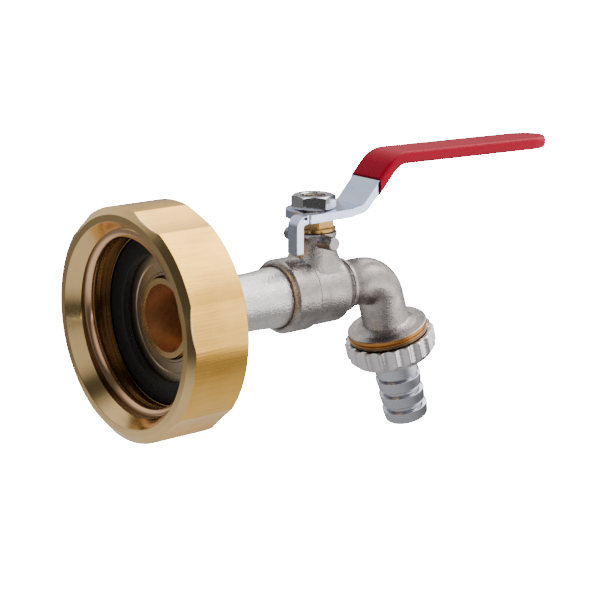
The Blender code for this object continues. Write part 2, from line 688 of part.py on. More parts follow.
def make_ball():
    bm = bmesh.new()
    bmesh.ops.create_uvsphere(bm, u_segments=STEPS_HIDDEN, v_segments=STEPS_LUG, radius=BALL_RADIUS)
    ball = on_stem(mesh_from_bmesh("ball", bm, "chrome"))
    reach = BALL_RADIUS + CUT_OVERRUN
    port = turned_solid("ball_port", [(-reach, BALL_PORT_RADIUS), (reach, BALL_PORT_RADIUS)], STEPS_SMALL)
    boolean(ball, along_x(port, STEM_X), "DIFFERENCE")
    slot = block("ball_slot", (STEM_X - BALL_SLOT_WIDTH / 2, -reach, BALL_SLOT_FLOOR),
                 (STEM_X + BALL_SLOT_WIDTH / 2, reach, reach))
    boolean(ball, slot, "DIFFERENCE")
    return settle(ball)


def make_ball_seat(name, side):
    """A seat ring whose face follows the ball; side is -1 at the inlet and 1 at the outlet."""
    contact = BALL_RADIUS + GAP
    start = math.acos(SEAT_LIP / contact)
    end = math.asin(SEAT_INNER_RADIUS / contact)
    outer = [(SEAT_LIP, SEAT_OUTER_RADIUS), (SEAT_BACK, SEAT_OUTER_RADIUS)]
    inner = arc_points(contact, start, end, SEAT_CURVE_POINTS) + [(SEAT_BACK, SEAT_INNER_RADIUS)]
    return settle(along_x(turned_ring(name, outer, inner, STEPS_HIDDEN, "sealing_plastic"), STEM_X, side))


def make_stem():
    shoulder_top = STEM_SHOULDER_BOTTOM + STEM_SHOULDER_HEIGHT
    groove = THROAT_START + (STEM_THROAT_HEIGHT - ORING_GROOVE_HEIGHT) / 2
    groove_end = groove + ORING_GROOVE_HEIGHT
    stem = on_stem(turned_solid("stem", [
        (STEM_SHOULDER_BOTTOM, STEM_SHOULDER_RADIUS), (shoulder_top, STEM_SHOULDER_RADIUS),
        (shoulder_top, STEM_RADIUS), (groove, STEM_RADIUS), (groove, ORING_GROOVE_RADIUS),
        (groove_end, ORING_GROOVE_RADIUS), (groove_end, STEM_RADIUS), (STEM_TOP, STEM_RADIUS)],
        STEPS_SMALL, "brass"))
    tang_half = BALL_SLOT_WIDTH / 2 - GAP
    tang = block("tang", (STEM_X - tang_half, -STEM_TANG_LENGTH / 2, BALL_SLOT_FLOOR + GAP),
                 (STEM_X + tang_half, STEM_TANG_LENGTH / 2, STEM_SHOULDER_BOTTOM + SINK))
    boolean(stem, tang, "UNION")
    wide = 2 * STEM_RADIUS
    for name, low, high in (("stem_flat_near", -wide, -STEM_FLAT_HALF), ("stem_flat_far", STEM_FLAT_HALF, wide)):
        flat = block(name, (STEM_X - wide, low, PLATE_BOTTOM - GAP), (STEM_X + wide, high, STEM_TOP + CUT_OVERRUN))
        boolean(stem, flat, "DIFFERENCE")
    return settle(stem)


def make_stem_ring(name, low, height, outer_radius, finish):
    outer = [(low, outer_radius), (low + height, outer_radius)]
    inner = [(low, STEM_HOLE_RADIUS), (low + height, STEM_HOLE_RADIUS)]
    return settle(on_stem(turned_ring(name, outer, inner, STEPS_HIDDEN, finish)))


def make_stem_o_ring():
    radius = (ORING_GROOVE_RADIUS + STEM_HOLE_RADIUS) / 2
    height = (THROAT_START + THROAT_END) / 2
    section = arc_points(ORING_SECTION_RADIUS, 0.0, -2 * math.pi, ORING_SECTION_POINTS, (radius, height))
    points = [(z, r) for r, z in section[:-1]]
    return settle(on_stem(turned_section("stem_o_ring", points, True, STEPS_HIDDEN, "rubber")), 80.0)


def chamfer_hexagon(nut, name, across_flats, low, high, chamfer, top_only):
    """Round off a hexagon's corners at its ends by crossing it with a turned shape."""
    corner = across_flats / math.sqrt(3.0) + SINK
    rim = corner - chamfer - SINK
    run = chamfer / 2
    start = (low, corner) if top_only else (low, rim)
    profile = [start] if top_only else [start, (low + run, corner)]
    profile += [(high - run, corner), (high, rim)]
    return boolean(nut, on_stem(turned_solid(name, profile, STEPS_BODY)), "INTERSECT")


def make_gland_nut():
    male = PACKING_POCKET_RADIUS - GAP
    collar = NECK_TOP + GAP
    hex_start = collar + GLAND_COLLAR_HEIGHT
    top = PLATE_BOTTOM - GAP - GAP
    gland = on_stem(turned_solid("gland_nut", [(GLAND_START, male), (collar, male), (collar, GLAND_COLLAR_RADIUS),
                                               (hex_start, GLAND_COLLAR_RADIUS)], STEPS_SMALL, "brass"))
    bar = on_stem(hexagon("gland_hexagon", GLAND_ACROSS_FLATS, hex_start - SINK, top, GLAND_TURN_DEG))
    chamfer_hexagon(bar, "gland_chamfer", GLAND_ACROSS_FLATS, hex_start - SINK, top, GLAND_CHAMFER, True)
    boolean(gland, bar, "UNION")
    hole = turned_solid("gland_hole", [(GLAND_START - CUT_OVERRUN, STEM_HOLE_RADIUS),
                                       (top + CUT_OVERRUN, STEM_HOLE_RADIUS)], STEPS_SMALL)
    boolean(gland, on_stem(hole), "DIFFERENCE")
    return settle(gland)


def make_lever_nut():
    low = LEVER_TOP + GAP
    high = low + LEVER_NUT_HEIGHT
    nut = on_stem(hexagon("lever_nut", LEVER_NUT_ACROSS_FLATS, low, high, LEVER_NUT_TURN_DEG, "zinc_steel"))
    chamfer_hexagon(nut, "lever_nut_chamfer", LEVER_NUT_ACROSS_FLATS, low, high, LEVER_NUT_CHAMFER, False)
    hole = turned_solid("lever_nut_hole", [(low - CUT_OVERRUN, STEM_HOLE_RADIUS),
                                           (high + CUT_OVERRUN, STEM_HOLE_RADIUS)], STEPS_SMALL)
    boolean(nut, on_stem(hole), "DIFFERENCE")
    return settle(nut)


def lever_path(start, tip):
    """Centre line of the strip in the XZ plane, counted from the stem."""
    second_z = LEVER_CENTRE_Z + (LEVER_SECOND_BEND - LEVER_FIRST_BEND) * math.tan(math.radians(LEVER_RISE_DEG))
    tip_z = second_z - (tip - LEVER_SECOND_BEND) * math.tan(math.radians(LEVER_DROOP_DEG))
    vertices = start + [(LEVER_FIRST_BEND, LEVER_CENTRE_Z), (LEVER_SECOND_BEND, second_z), (tip, tip_z)]
    radii = [TAB_BEND_RADIUS] * (len(start) - 1) + [LEVER_FIRST_RADIUS, LEVER_SECOND_RADIUS]
    return bent_path(vertices, radii)


def lever_plan():
    """Outline of the flat lever seen from above, with the tongue of the pointer tab at its rear."""
    half = LEVER_PLATE_HALF
    arm = LEVER_ARM_HALF
    round_start = LEVER_TIP - arm * (1 + LEVER_TIP_SQUARE_SHARE)
    tip = []
    for x, y in arc_points(arm, -math.pi / 2, math.pi / 2, LEVER_TIP_POINTS):
        tip.append((round_start + x * (1 + LEVER_TIP_SQUARE_SHARE), y))
    rear = arc_points(half, math.pi / 2, math.pi + math.asin(TAB_EDGE / half), LEVER_REAR_POINTS)
    tongue = [(-TAB_OUTER_FACE - CUT_OVERRUN, -TAB_EDGE), (-TAB_OUTER_FACE - CUT_OVERRUN, -half)]
    near = [(LEVER_SHOULDER_START, -half), (LEVER_SHOULDER_END, -arm)]
    far = [(LEVER_SHOULDER_END, arm), (LEVER_SHOULDER_START, half)]
    return tongue + near + tip + far + rear


def stand_up(obj, y=0.0):
    """Stand a flat outline up on the stem, so that its local XY becomes the world's XZ."""
    obj.data.transform(Matrix.Translation((0.0, y, 0.0)) @ Matrix.Rotation(math.radians(90.0), 4, "X"))
    return on_stem(obj)


def stop_tab():
    """Second tab, folded down beside the far stop lug."""
    centre_y = STOP_TAB_INNER_FACE + LEVER_THICKNESS / 2
    path = bent_path([(LEVER_ARM_HALF, LEVER_CENTRE_Z), (centre_y, LEVER_CENTRE_Z), (centre_y, TAB_BOTTOM)],
                     [TAB_BEND_RADIUS])
    tab = flat_outline("stop_tab", strip_outline(path, LEVER_THICKNESS / 2), STOP_TAB_WIDTH / 2)
    centre_x = LUG_RADIUS - LUG_OFFSET + GAP + STOP_TAB_WIDTH / 2
    axes = Matrix(((0.0, 0.0, 1.0, centre_x), (1.0, 0.0, 0.0, 0.0), (0.0, 1.0, 0.0, 0.0), (0.0, 0.0, 0.0, 1.0)))
    tab.data.transform(axes)
    return on_stem(tab)


def make_lever():
    tab_x = -TAB_OUTER_FACE + LEVER_THICKNESS / 2
    start = [(tab_x, TAB_BOTTOM), (tab_x, LEVER_CENTRE_Z)]
    side = strip_outline(lever_path(start, LEVER_TIP + CUT_OVERRUN), LEVER_THICKNESS / 2)
    lever = stand_up(flat_outline("lever", side, 2 * LEVER_PLATE_HALF, "zinc_steel"))
    plan = on_stem(flat_outline("lever_plan", lever_plan(), 3 * LEVER_TOP))
    boolean(lever, plan, "INTERSECT")
    boolean(lever, stop_tab(), "UNION")
    notch = turned_solid("notch", [(TAB_BOTTOM, NOTCH_RADIUS), (LEVER_TOP + CUT_OVERRUN, NOTCH_RADIUS)], STEPS_LUG)
    notch.location = (STEM_X - TAB_OUTER_FACE + LEVER_THICKNESS + TAB_BEND_RADIUS, -LEVER_PLATE_HALF, 0.0)
    boolean(lever, notch, "DIFFERENCE")
    hole = [(x, max(-STEM_HOLE_FLAT_HALF, min(STEM_HOLE_FLAT_HALF, y)))
            for x, y in arc_points(STEM_HOLE_RADIUS, 0.0, 2 * math.pi, STEPS_SMALL)[:-1]]
    boolean(lever, on_stem(flat_outline("stem_hole", hole, 2 * LEVER_TOP)), "DIFFERENCE")
    return settle(lever)


def grip_section(point, direction, half_width, half_height, corner):
    """Rounded rectangle square to the lever's path."""
    normal = direction.orthogonal()
    ring = []
    for quarter in range(4):
        side_y = 1 if quarter in (0, 3) else -1
        side_n = 1 if quarter in (0, 1) else -1
        for k in range(GRIP_CORNER_POINTS + 1):
            angle = (quarter + k / GRIP_CORNER_POINTS) * math.pi / 2
            y = side_y * (half_width - corner) + corner * math.cos(angle)
            offset = side_n * (half_height - corner) + corner * math.sin(angle)
            place = point + normal * offset
            ring.append((STEM_X + place.x, y, place.y))
    return ring


def grip_shape(name, tip, half_width, half_height, corner, finish=None):
    """Sleeve over the lever's arm, rounded in plan at its tip."""
    path = lever_path([(LEVER_SHOULDER_START, LEVER_CENTRE_Z)], tip)[1:-1]
    path = [pair for pair in path if pair[0].x > LEVER_FIRST_BEND]
    last, direction = path[-1]
    length = tip - last.x
    slope = direction / direction.x
    sections = [grip_section(p, d, half_width, half_height, corner) for p, d in path]
    reach = half_width * (1 + LEVER_TIP_SQUARE_SHARE)
    sections.append(grip_section(last + slope * (length - reach), direction, half_width, half_height, corner))
    for i in range(1, GRIP_STATIONS):
        angle = math.pi / 2 * i / GRIP_STATIONS
        run = length - reach + reach * math.sin(angle)
        width = corner + (half_width - corner) * math.cos(angle)
        sections.append(grip_section(last + slope * run, direction, width, half_height, corner))
    sections.append(grip_section(last + slope * length, direction, corner, half_height - corner / 2, corner / 2))
    return loft(name, sections, finish)


def make_lever_grip():
    inside = LEVER_ARM_HALF + GAP
    inside_height = LEVER_THICKNESS / 2 + GAP
    tip = LEVER_TIP + GAP + GRIP_THICKNESS
    grip = grip_shape("lever_grip", tip, inside + GRIP_THICKNESS, inside_height + GRIP_THICKNESS,
                      GRIP_CORNER_RADIUS, "dipped_vinyl")
    side = strip_outline(lever_path([(0.0, LEVER_CENTRE_Z)], LEVER_TIP + CUT_OVERRUN), inside_height)
    hollow = stand_up(flat_outline("grip_hollow", side, 2 * LEVER_PLATE_HALF))
    round_start = LEVER_TIP + GAP - inside * (1 + LEVER_TIP_SQUARE_SHARE)
    plan = [(0.0, inside), (0.0, -inside)]
    for x, y in arc_points(inside, -math.pi / 2, math.pi / 2, LEVER_TIP_POINTS):
        plan.append((round_start + x * (1 + LEVER_TIP_SQUARE_SHARE), y))
    boolean(hollow, on_stem(flat_outline("grip_hollow_plan", plan, 3 * LEVER_TOP)), "INTERSECT")
    boolean(grip, hollow, "DIFFERENCE")
    mouth = block("grip_mouth", (STEM_X, -2 * LEVER_PLATE_HALF, 0.0),
                  (STEM_X + GRIP_START, 2 * LEVER_PLATE_HALF, 3 * LEVER_TOP))
    boolean(grip, mouth, "DIFFERENCE")
    return settle(grip, 50.0)


def union_radius(station):
    """Outer radius of the union nut's turned blank at a station down the outlet axis."""
    if station < UNION_TOP + UNION_TOP_CHAMFER:
        return UNION_RADIUS - UNION_TOP_CHAMFER + (station - UNION_TOP)
    if station < UNION_CONE_START:
        return UNION_RADIUS
    if station < UNION_CONE_MID:
        share = (station - UNION_CONE_START) / (UNION_CONE_MID - UNION_CONE_START)
        return UNION_RADIUS + (UNION_CONE_MID_RADIUS - UNION_RADIUS) * share
    share = (station - UNION_CONE_MID) / (UNION_BOTTOM - UNION_CONE_MID)
    return UNION_CONE_MID_RADIUS + (UNION_BOTTOM_RADIUS - UNION_CONE_MID_RADIUS) * share


def make_hose_union_nut():
    slope = (UNION_RADIUS - UNION_CONE_MID_RADIUS) / (UNION_CONE_MID - UNION_CONE_START)
    flute_end = UNION_CONE_START + UNION_FLUTE_DEPTH / slope
    stations = [UNION_BOTTOM, UNION_CONE_MID, flute_end, (flute_end + UNION_CONE_START) / 2, UNION_CONE_START,
                UNION_TOP + UNION_TOP_CHAMFER, UNION_TOP]
    count = UNION_FLUTE_COUNT * UNION_FLUTE_POINTS
    sections = []
    for station in stations:
        blank = union_radius(station)
        ring = []
        for i in range(count):
            hollow = math.sin(math.pi * (i % UNION_FLUTE_POINTS) / UNION_FLUTE_POINTS)
            radius = min(blank, UNION_RADIUS - UNION_FLUTE_DEPTH * hollow)
            angle = 2 * math.pi * i / count
            ring.append((radius * math.cos(angle), radius * math.sin(angle), -station))
        sections.append(ring)
    nut = on_outlet(loft("hose_union_nut", sections, "nickel"))
    pocket = HOSE_COLLAR_RADIUS + GAP
    shoulder = HOSE_COLLAR + HOSE_COLLAR_THICKNESS + GAP
    hole = HOSE_SHANK_RADIUS + UNION_HOLE_CLEARANCE
    thread = OUTLET_THREAD_RADIUS + GAP
    inside = on_outlet(turned_solid("union_inside", down([
        (UNION_TOP - CUT_OVERRUN, thread), (HOSE_WASHER, thread), (HOSE_WASHER, pocket),
        (shoulder, pocket), (shoulder, hole), (UNION_BOTTOM + CUT_OVERRUN, hole)]), STEPS_BODY))
    boolean(nut, inside, "DIFFERENCE")
    return settle(nut)


def make_hose_washer():
    end = HOSE_WASHER + WASHER_RING_THICKNESS
    outer = down([(HOSE_WASHER, HOSE_COLLAR_RADIUS), (end, HOSE_COLLAR_RADIUS)])
    inner = down([(HOSE_WASHER, WASHER_RING_INNER), (end, WASHER_RING_INNER)])
    return settle(on_outlet(turned_ring("hose_washer", outer, inner, STEPS_SMALL, "rubber")))


def make_hose_tail():
    collar_end = HOSE_COLLAR + HOSE_COLLAR_THICKNESS
    profile = [(HOSE_COLLAR, HOSE_COLLAR_RADIUS), (collar_end, HOSE_COLLAR_RADIUS), (collar_end, HOSE_SHANK_RADIUS)]
    for i in range(BARB_COUNT):
        groove = BARB_FIRST_GROOVE + i * BARB_SPACING
        before = HOSE_SHANK_RADIUS if i == 0 else BARB_TAIL_RADIUS
        profile += [(groove - BARB_GROOVE_HALF, before), (groove, BARB_GROOVE_RADIUS),
                    (groove + BARB_GROOVE_HALF, BARB_PEAK_RADIUS)]
    profile += [(HOSE_END - HOSE_END_ROUND, BARB_TAIL_RADIUS), (HOSE_END, HOSE_END_RADIUS)]
    inner = [(HOSE_COLLAR, HOSE_BORE), (HOSE_END, HOSE_BORE)]
    return settle(on_outlet(turned_ring("hose_tail", down(profile), down(inner), STEPS_BODY, "chrome")))


clear_scene()
parts = new_collection("tank_outlet_ball_valve")
cutters = new_collection("cutters")
make_coupling_nut()
make_tank_gasket()
make_adapter_flange()
make_tail_seal()
make_inlet_tail()
make_valve_body()
make_ball()
make_ball_seat("ball_seat_inlet", -1.0)
make_ball_seat("ball_seat_outlet", 1.0)
make_stem()
make_stem_ring("stem_thrust_washer", THRUST_WASHER, WASHER_THICKNESS, STEM_SHOULDER_RADIUS, "sealing_plastic")
make_stem_o_ring()
make_stem_ring("stem_packing", PACKING_START, PACKING_HEIGHT, PACKING_POCKET_RADIUS - GAP, "sealing_plastic")
make_gland_nut()
make_lever()
make_lever_grip()
make_lever_nut()
make_hose_union_nut()
make_hose_washer()
make_hose_tail()
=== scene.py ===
"""Visible model of a lever ball valve with a coarse-thread coupling nut for a liquid tank outlet."""
from __future__ import annotations

import logging
import math
from dataclasses import dataclass
from enum import Enum
from typing import Callable, Sequence

import bmesh
import bpy
from mathutils import Matrix, Vector


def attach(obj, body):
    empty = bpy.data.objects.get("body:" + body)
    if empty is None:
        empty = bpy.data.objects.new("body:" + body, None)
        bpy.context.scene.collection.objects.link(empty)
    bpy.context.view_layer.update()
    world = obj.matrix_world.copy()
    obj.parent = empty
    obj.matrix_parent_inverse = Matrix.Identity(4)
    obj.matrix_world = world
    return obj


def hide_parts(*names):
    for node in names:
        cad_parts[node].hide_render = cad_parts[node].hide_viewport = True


LOG = logging.getLogger("tank_valve")
MM = 0.001
TURN = 2 * math.pi
Point = tuple[float, float]
Place = tuple[float, float, float]
Object = bpy.types.Object
Socket = bpy.types.NodeSocket
Tree = bpy.types.NodeTree


class Carrier(Enum):
    """Moving bodies of the frame that a piece can ride on."""

    VALVE = "valve"
    HANDLE = "handle"
    NUT = "nut"
    HOSE_END = "hose_end"
    UNION = "union"


class Marks(Enum):
    """Kinds of tool or casting marks, by the name of the node group's output that draws them."""

    SPECKLE = "Height"
    RINGS = "Rings"
    STREAKS = "Streaks"


@dataclass(frozen=True)
class TurningAxis:
    """A line that turned pieces are built round: stations are counted along it from the origin."""

    origin: Place
    direction: Place
    side: Place

    def matrix(self) -> Matrix:
        """Matrix from (side, third axis, station) to the row frame.

        Returns:
            The matrix.
        """
        along = Vector(self.direction).normalized()
        across = Vector(self.side).normalized()
        turn = Matrix((across, along.cross(across), along)).transposed().to_4x4()
        return Matrix.Translation(Vector(self.origin)) @ turn

    def moved(self, distance: float) -> TurningAxis:
        """The same axis with its origin moved along it."""
        origin = Vector(self.origin) + Vector(self.direction) * distance
        return TurningAxis(tuple(origin), self.direction, self.side)


STEM_X = 77.14 * MM
SPOUT_TILT = math.radians(16.5)
DOWN = (math.sin(SPOUT_TILT), 0.0, -math.cos(SPOUT_TILT))
SPOUT_CORNER = 105.46 * MM
SPOUT_DROP = 18.1 * MM
OUTLET_CENTRE = (SPOUT_CORNER + DOWN[0] * SPOUT_DROP, 0.0, DOWN[2] * SPOUT_DROP)
PIPE = TurningAxis((0.0, 0.0, 0.0), (1.0, 0.0, 0.0), (0.0, -1.0, 0.0))
STEM = TurningAxis((STEM_X, 0.0, 0.0), (0.0, 0.0, 1.0), (1.0, 0.0, 0.0))
OUTLET = TurningAxis(OUTLET_CENTRE, DOWN, (0.0, -1.0, 0.0))
NEAR_LUG = TurningAxis((STEM_X - 1.9 * MM, 0.0, 18.1 * MM), (0.0, 1.0, 0.0), (1.0, 0.0, 0.0))


def shares(steps: int) -> list[float]:
    """Even shares from 0 to 1."""
    return [i / steps for i in range(steps + 1)]


def around(count: int, first: float = 0.0) -> list[float]:
    """Even angles round a full turn."""
    return [first + TURN * i / count for i in range(count)]


class NodeSheet:
    """A node tree with short calls for adding and joining nodes."""

    SOCKET_TYPES = {float: "NodeSocketFloat", int: "NodeSocketInt"}

    def __init__(self, tree: Tree) -> None:
        """Keep the tree that the nodes go into."""
        self.tree = tree
        self.column = 0

    @classmethod
    def group(cls, name: str, kind: str, inputs: dict[str, object], outputs: Sequence[str],
              output_type: str) -> tuple[NodeSheet, dict[str, Socket], dict[str, Socket]]:
        """Start a node group with its sockets.

        Args:
            name: The group's name.
            kind: The type name of its tree.
            inputs: First number of each input, or its socket type where it isn't a number.
            outputs: Names of the outputs.
            output_type: Socket type of the outputs.

        Returns:
            The group's sheet, its inputs to read from and its outputs to join to.
        """
        tree = bpy.data.node_groups.new(name, kind)
        for label, value in inputs.items():
            if isinstance(value, str):
                tree.interface.new_socket(label, in_out="INPUT", socket_type=value)
            else:
                number = cls.SOCKET_TYPES[type(value)]
                tree.interface.new_socket(label, in_out="INPUT", socket_type=number).default_value = value
        for label in outputs:
            tree.interface.new_socket(label, in_out="OUTPUT", socket_type=output_type)
        sheet = cls(tree)
        return sheet, sheet.add("NodeGroupInput").outputs, sheet.add("NodeGroupOutput").inputs

    def add(self, kind: str, inputs: dict[str | int, object] | None = None, **settings: object) -> bpy.types.Node:
        """Add one node.

        Args:
            kind: The node's type name.
            inputs: Sockets or plain values for its inputs, by name or number.
            settings: Properties of the node, by name.

        Returns:
            The new node.
        """
        node = self.tree.nodes.new(kind)
        node.location = (self.column * 180, -(self.column % 4) * 160)
        self.column += 1
        for name, value in settings.items():
            setattr(node, name, value)
        for label, value in (inputs or {}).items():
            self.join(value, node.inputs[label])
        return node

    def join(self, source: object, target: Socket) -> None:
        """Link a socket, or put a plain value, into an input socket.

        Args:
            source: Socket or plain value.
            target: The input socket.
        """
        if isinstance(source, Socket):
            self.tree.links.new(source, target)
        else:
            target.default_value = source

    def math(self, operation: str, *values: object) -> Socket:
        """Add a Math node for these sockets or numbers and return its result."""
        return self.add("ShaderNodeMath", dict(enumerate(values)), operation=operation).outputs[0]

    def total(self, *values: object) -> Socket:
        """Add up sockets or numbers.

        Args:
            values: Sockets or numbers.

        Returns:
            Socket with the sum.
        """
        result = values[0]
        for value in values[1:]:
            result = self.math("ADD", value, result)
        return result

    def vector(self, *parts: object) -> Socket:
        """Combine up to three sockets or numbers into a vector."""
        return self.add("ShaderNodeCombineXYZ", dict(enumerate(parts))).outputs[0]

    def radial(self, vector: Socket) -> tuple[Socket, Socket, Socket, Socket]:
        """Split a vector into X, Y, Z and its distance from the Z axis.

        Args:
            vector: Socket with the vector.

        Returns:
            Sockets with the four numbers.
        """
        x, y, z = self.add("ShaderNodeSeparateXYZ", {0: vector}).outputs
        squares = self.math("ADD", self.math("MULTIPLY", x, x), self.math("MULTIPLY", y, y))
        return x, y, z, self.math("SQRT", squares)

    def ramp(self, value: Socket, start: float, end: float, before: float, after: float) -> Socket:
        """Soft step of a value, from one result before the start to another after the end.

        Args:
            value: Socket with the value.
            start: Where the step starts.
            end: Where the step ends.
            before: Result up to the start.
            after: Result past the end.

        Returns:
            Socket with the result.
        """
        limits = {"From Min": start, "From Max": end, "To Min": before, "To Max": after}
        return self.add("ShaderNodeMapRange", {"Value": value, **limits},
                        interpolation_type="SMOOTHSTEP").outputs["Result"]

    def compare(self, operation: str, vector: Socket, other: Place) -> Socket:
        """Add a Vector Math node that measures a vector against a fixed one."""
        return self.add("ShaderNodeVectorMath", {0: vector, 1: other}, operation=operation).outputs["Value"]


class SurfaceGroups:
    """Shader node groups shared by the finishes."""

    STREAKS_ALONG = 60.0
    AXIS_GUARD = 1e-5
    CELLS_PER_GRAIN = 1.4
    GRAIN_SHARES = (0.7, 0.5)

    def __init__(self) -> None:
        """Build every group once."""
        self.axis_marks = self._axis_marks()
        self.smudges = self._smudges()
        self.grain = self._grain()

    @staticmethod
    def _start(name: str, scales: dict[str, float], *outputs: str) -> tuple:
        """Start a group that reads a place on the surface and gives numbers."""
        return NodeSheet.group(name, "ShaderNodeTree", {"Vector": "NodeSocketVector", **scales}, outputs,
                               "NodeSocketFloat")

    def _axis_marks(self) -> Tree:
        """Marks left by turning (rings) and by brushing along the axis (streaks), for an axis along Z.

        Returns:
            The group.
        """
        sheet, given, results = self._start("axis_marks", {"Ring Scale": 3000.0, "Streak Scale": 60.0},
                                            "Rings", "Streaks")
        x, y, z, radius = sheet.radial(given["Vector"])
        safe = sheet.math("MAXIMUM", radius, self.AXIS_GUARD)
        rings = [sheet.math("MULTIPLY", part, given["Ring Scale"]) for part in (radius, z)]
        streaks = [sheet.math("MULTIPLY", sheet.math("DIVIDE", part, safe), given["Streak Scale"])
                   for part in (x, y)]
        streaks.append(sheet.math("MULTIPLY", z, self.STREAKS_ALONG))
        for label, parts, detail in (("Rings", rings, 3.0), ("Streaks", streaks, 4.0)):
            noise = sheet.add("ShaderNodeTexNoise",
                              {"Scale": 1.0, "Detail": detail, "Vector": sheet.vector(*parts)})
            sheet.join(noise.outputs["Fac"], results[label])
        return sheet.tree

    def _smudges(self) -> Tree:
        """Soft large patches, for roughness and colour that vary over a piece.

        Returns:
            The group.
        """
        sheet, given, results = self._start("smudges", {"Scale": 60.0}, "Value")
        noise = sheet.add("ShaderNodeTexNoise", {
            "Detail": 5.0, "Roughness": 0.6, "Vector": given["Vector"], "Scale": given["Scale"]})
        spread = sheet.add("ShaderNodeMapRange",
                           {"Value": noise.outputs["Fac"], "From Min": 0.32, "From Max": 0.68})
        sheet.join(spread.outputs["Result"], results["Value"])
        return sheet.tree

    def _grain(self) -> Tree:
        """Fine cast or moulded grain: small rounded bumps over a softer unevenness.

        Returns:
            The group.
        """
        sheet, given, results = self._start("grain", {"Scale": 1500.0}, "Height")
        coarse = sheet.add("ShaderNodeTexNoise",
                           {"Detail": 3.0, "Vector": given["Vector"], "Scale": given["Scale"]})
        cells = sheet.add("ShaderNodeTexVoronoi", {
            "Vector": given["Vector"], "Scale": sheet.math("MULTIPLY", given["Scale"], self.CELLS_PER_GRAIN)},
            feature="SMOOTH_F1")
        soft, bumps = self.GRAIN_SHARES
        height = sheet.math("ADD", sheet.math("MULTIPLY", coarse.outputs["Fac"], soft),
                            sheet.math("MULTIPLY", cells.outputs["Distance"], bumps))
        sheet.join(height, results["Height"])
        return sheet.tree


@dataclass(frozen=True)
class Finish:
    """One surface finish, from its colours to the marks of its making."""

    name: str
    colour: Place
    shade: Place
    roughness: float
    axis: TurningAxis
    mark_scale: float
    mark_depth: float
    marks: Marks = Marks.RINGS
    spread: float = 0.05
    metallic: float = 1.0
    grain_scale: float = 2500.0
    grain_depth: float = 4e-6
    gloss: float = 0.5
    patch_scale: float = 55.0
    shade_gain: float = 0.7
    rings_per_streak: float = 40.0

    def build(self, groups: SurfaceGroups) -> bpy.types.Material:
        """Build the finish's material.

        Args:
            groups: The shared shader node groups.

        Returns:
            The material.
        """
        material = bpy.data.materials.new(self.name)
        material.use_nodes = True
        sheet = NodeSheet(material.node_tree)
        turn = self.axis.matrix().inverted()
        local = sheet.add("ShaderNodeMapping", {
            "Vector": sheet.add("ShaderNodeTexCoord").outputs["Object"], "Location": turn.translation,
            "Rotation": turn.to_euler()}, vector_type="POINT").outputs[0]
        smudge = self._group(sheet, groups.smudges, local, Scale=self.patch_scale).outputs[0]
        grain = self._group(sheet, groups.grain, local, Scale=self.grain_scale).outputs["Height"]
        if self.marks is Marks.SPECKLE:
            mark = grain
        else:
            scales = {"Ring Scale": self.mark_scale, "Streak Scale": self.mark_scale / self.rings_per_streak}
            mark = self._group(sheet, groups.axis_marks, local, **scales).outputs[self.marks.value]
        factor = sheet.math("MULTIPLY", sheet.math("MULTIPLY", smudge, mark), self.shade_gain)
        colour = sheet.add("ShaderNodeMix", {0: factor, 6: (*self.colour, 1.0), 7: (*self.shade, 1.0)},
                           data_type="RGBA").outputs[2]
        rough = sheet.math("MULTIPLY_ADD", sheet.math("ADD", smudge, mark), self.spread,
                           self.roughness - self.spread)
        height = sheet.math("ADD", sheet.math("MULTIPLY", mark, self.mark_depth),
                            sheet.math("MULTIPLY", grain, self.grain_depth))
        bump = sheet.add("ShaderNodeBump", {"Strength": 1.0, "Distance": 1.0, "Height": height})
        shader = material.node_tree.nodes["Principled BSDF"]
        for label, value in (("Base Color", colour), ("Roughness", rough), ("Normal", bump.outputs["Normal"]),
                             ("Metallic", self.metallic), ("Specular IOR Level", self.gloss)):
            sheet.join(value, shader.inputs[label])
        return material

    @staticmethod
    def _group(sheet: NodeSheet, tree: Tree, vector: Socket, **values: float) -> bpy.types.Node:
        """Place a shared group at a place on the surface and set its other inputs."""
        return sheet.add("ShaderNodeGroup", {"Vector": vector, **values}, node_tree=tree)


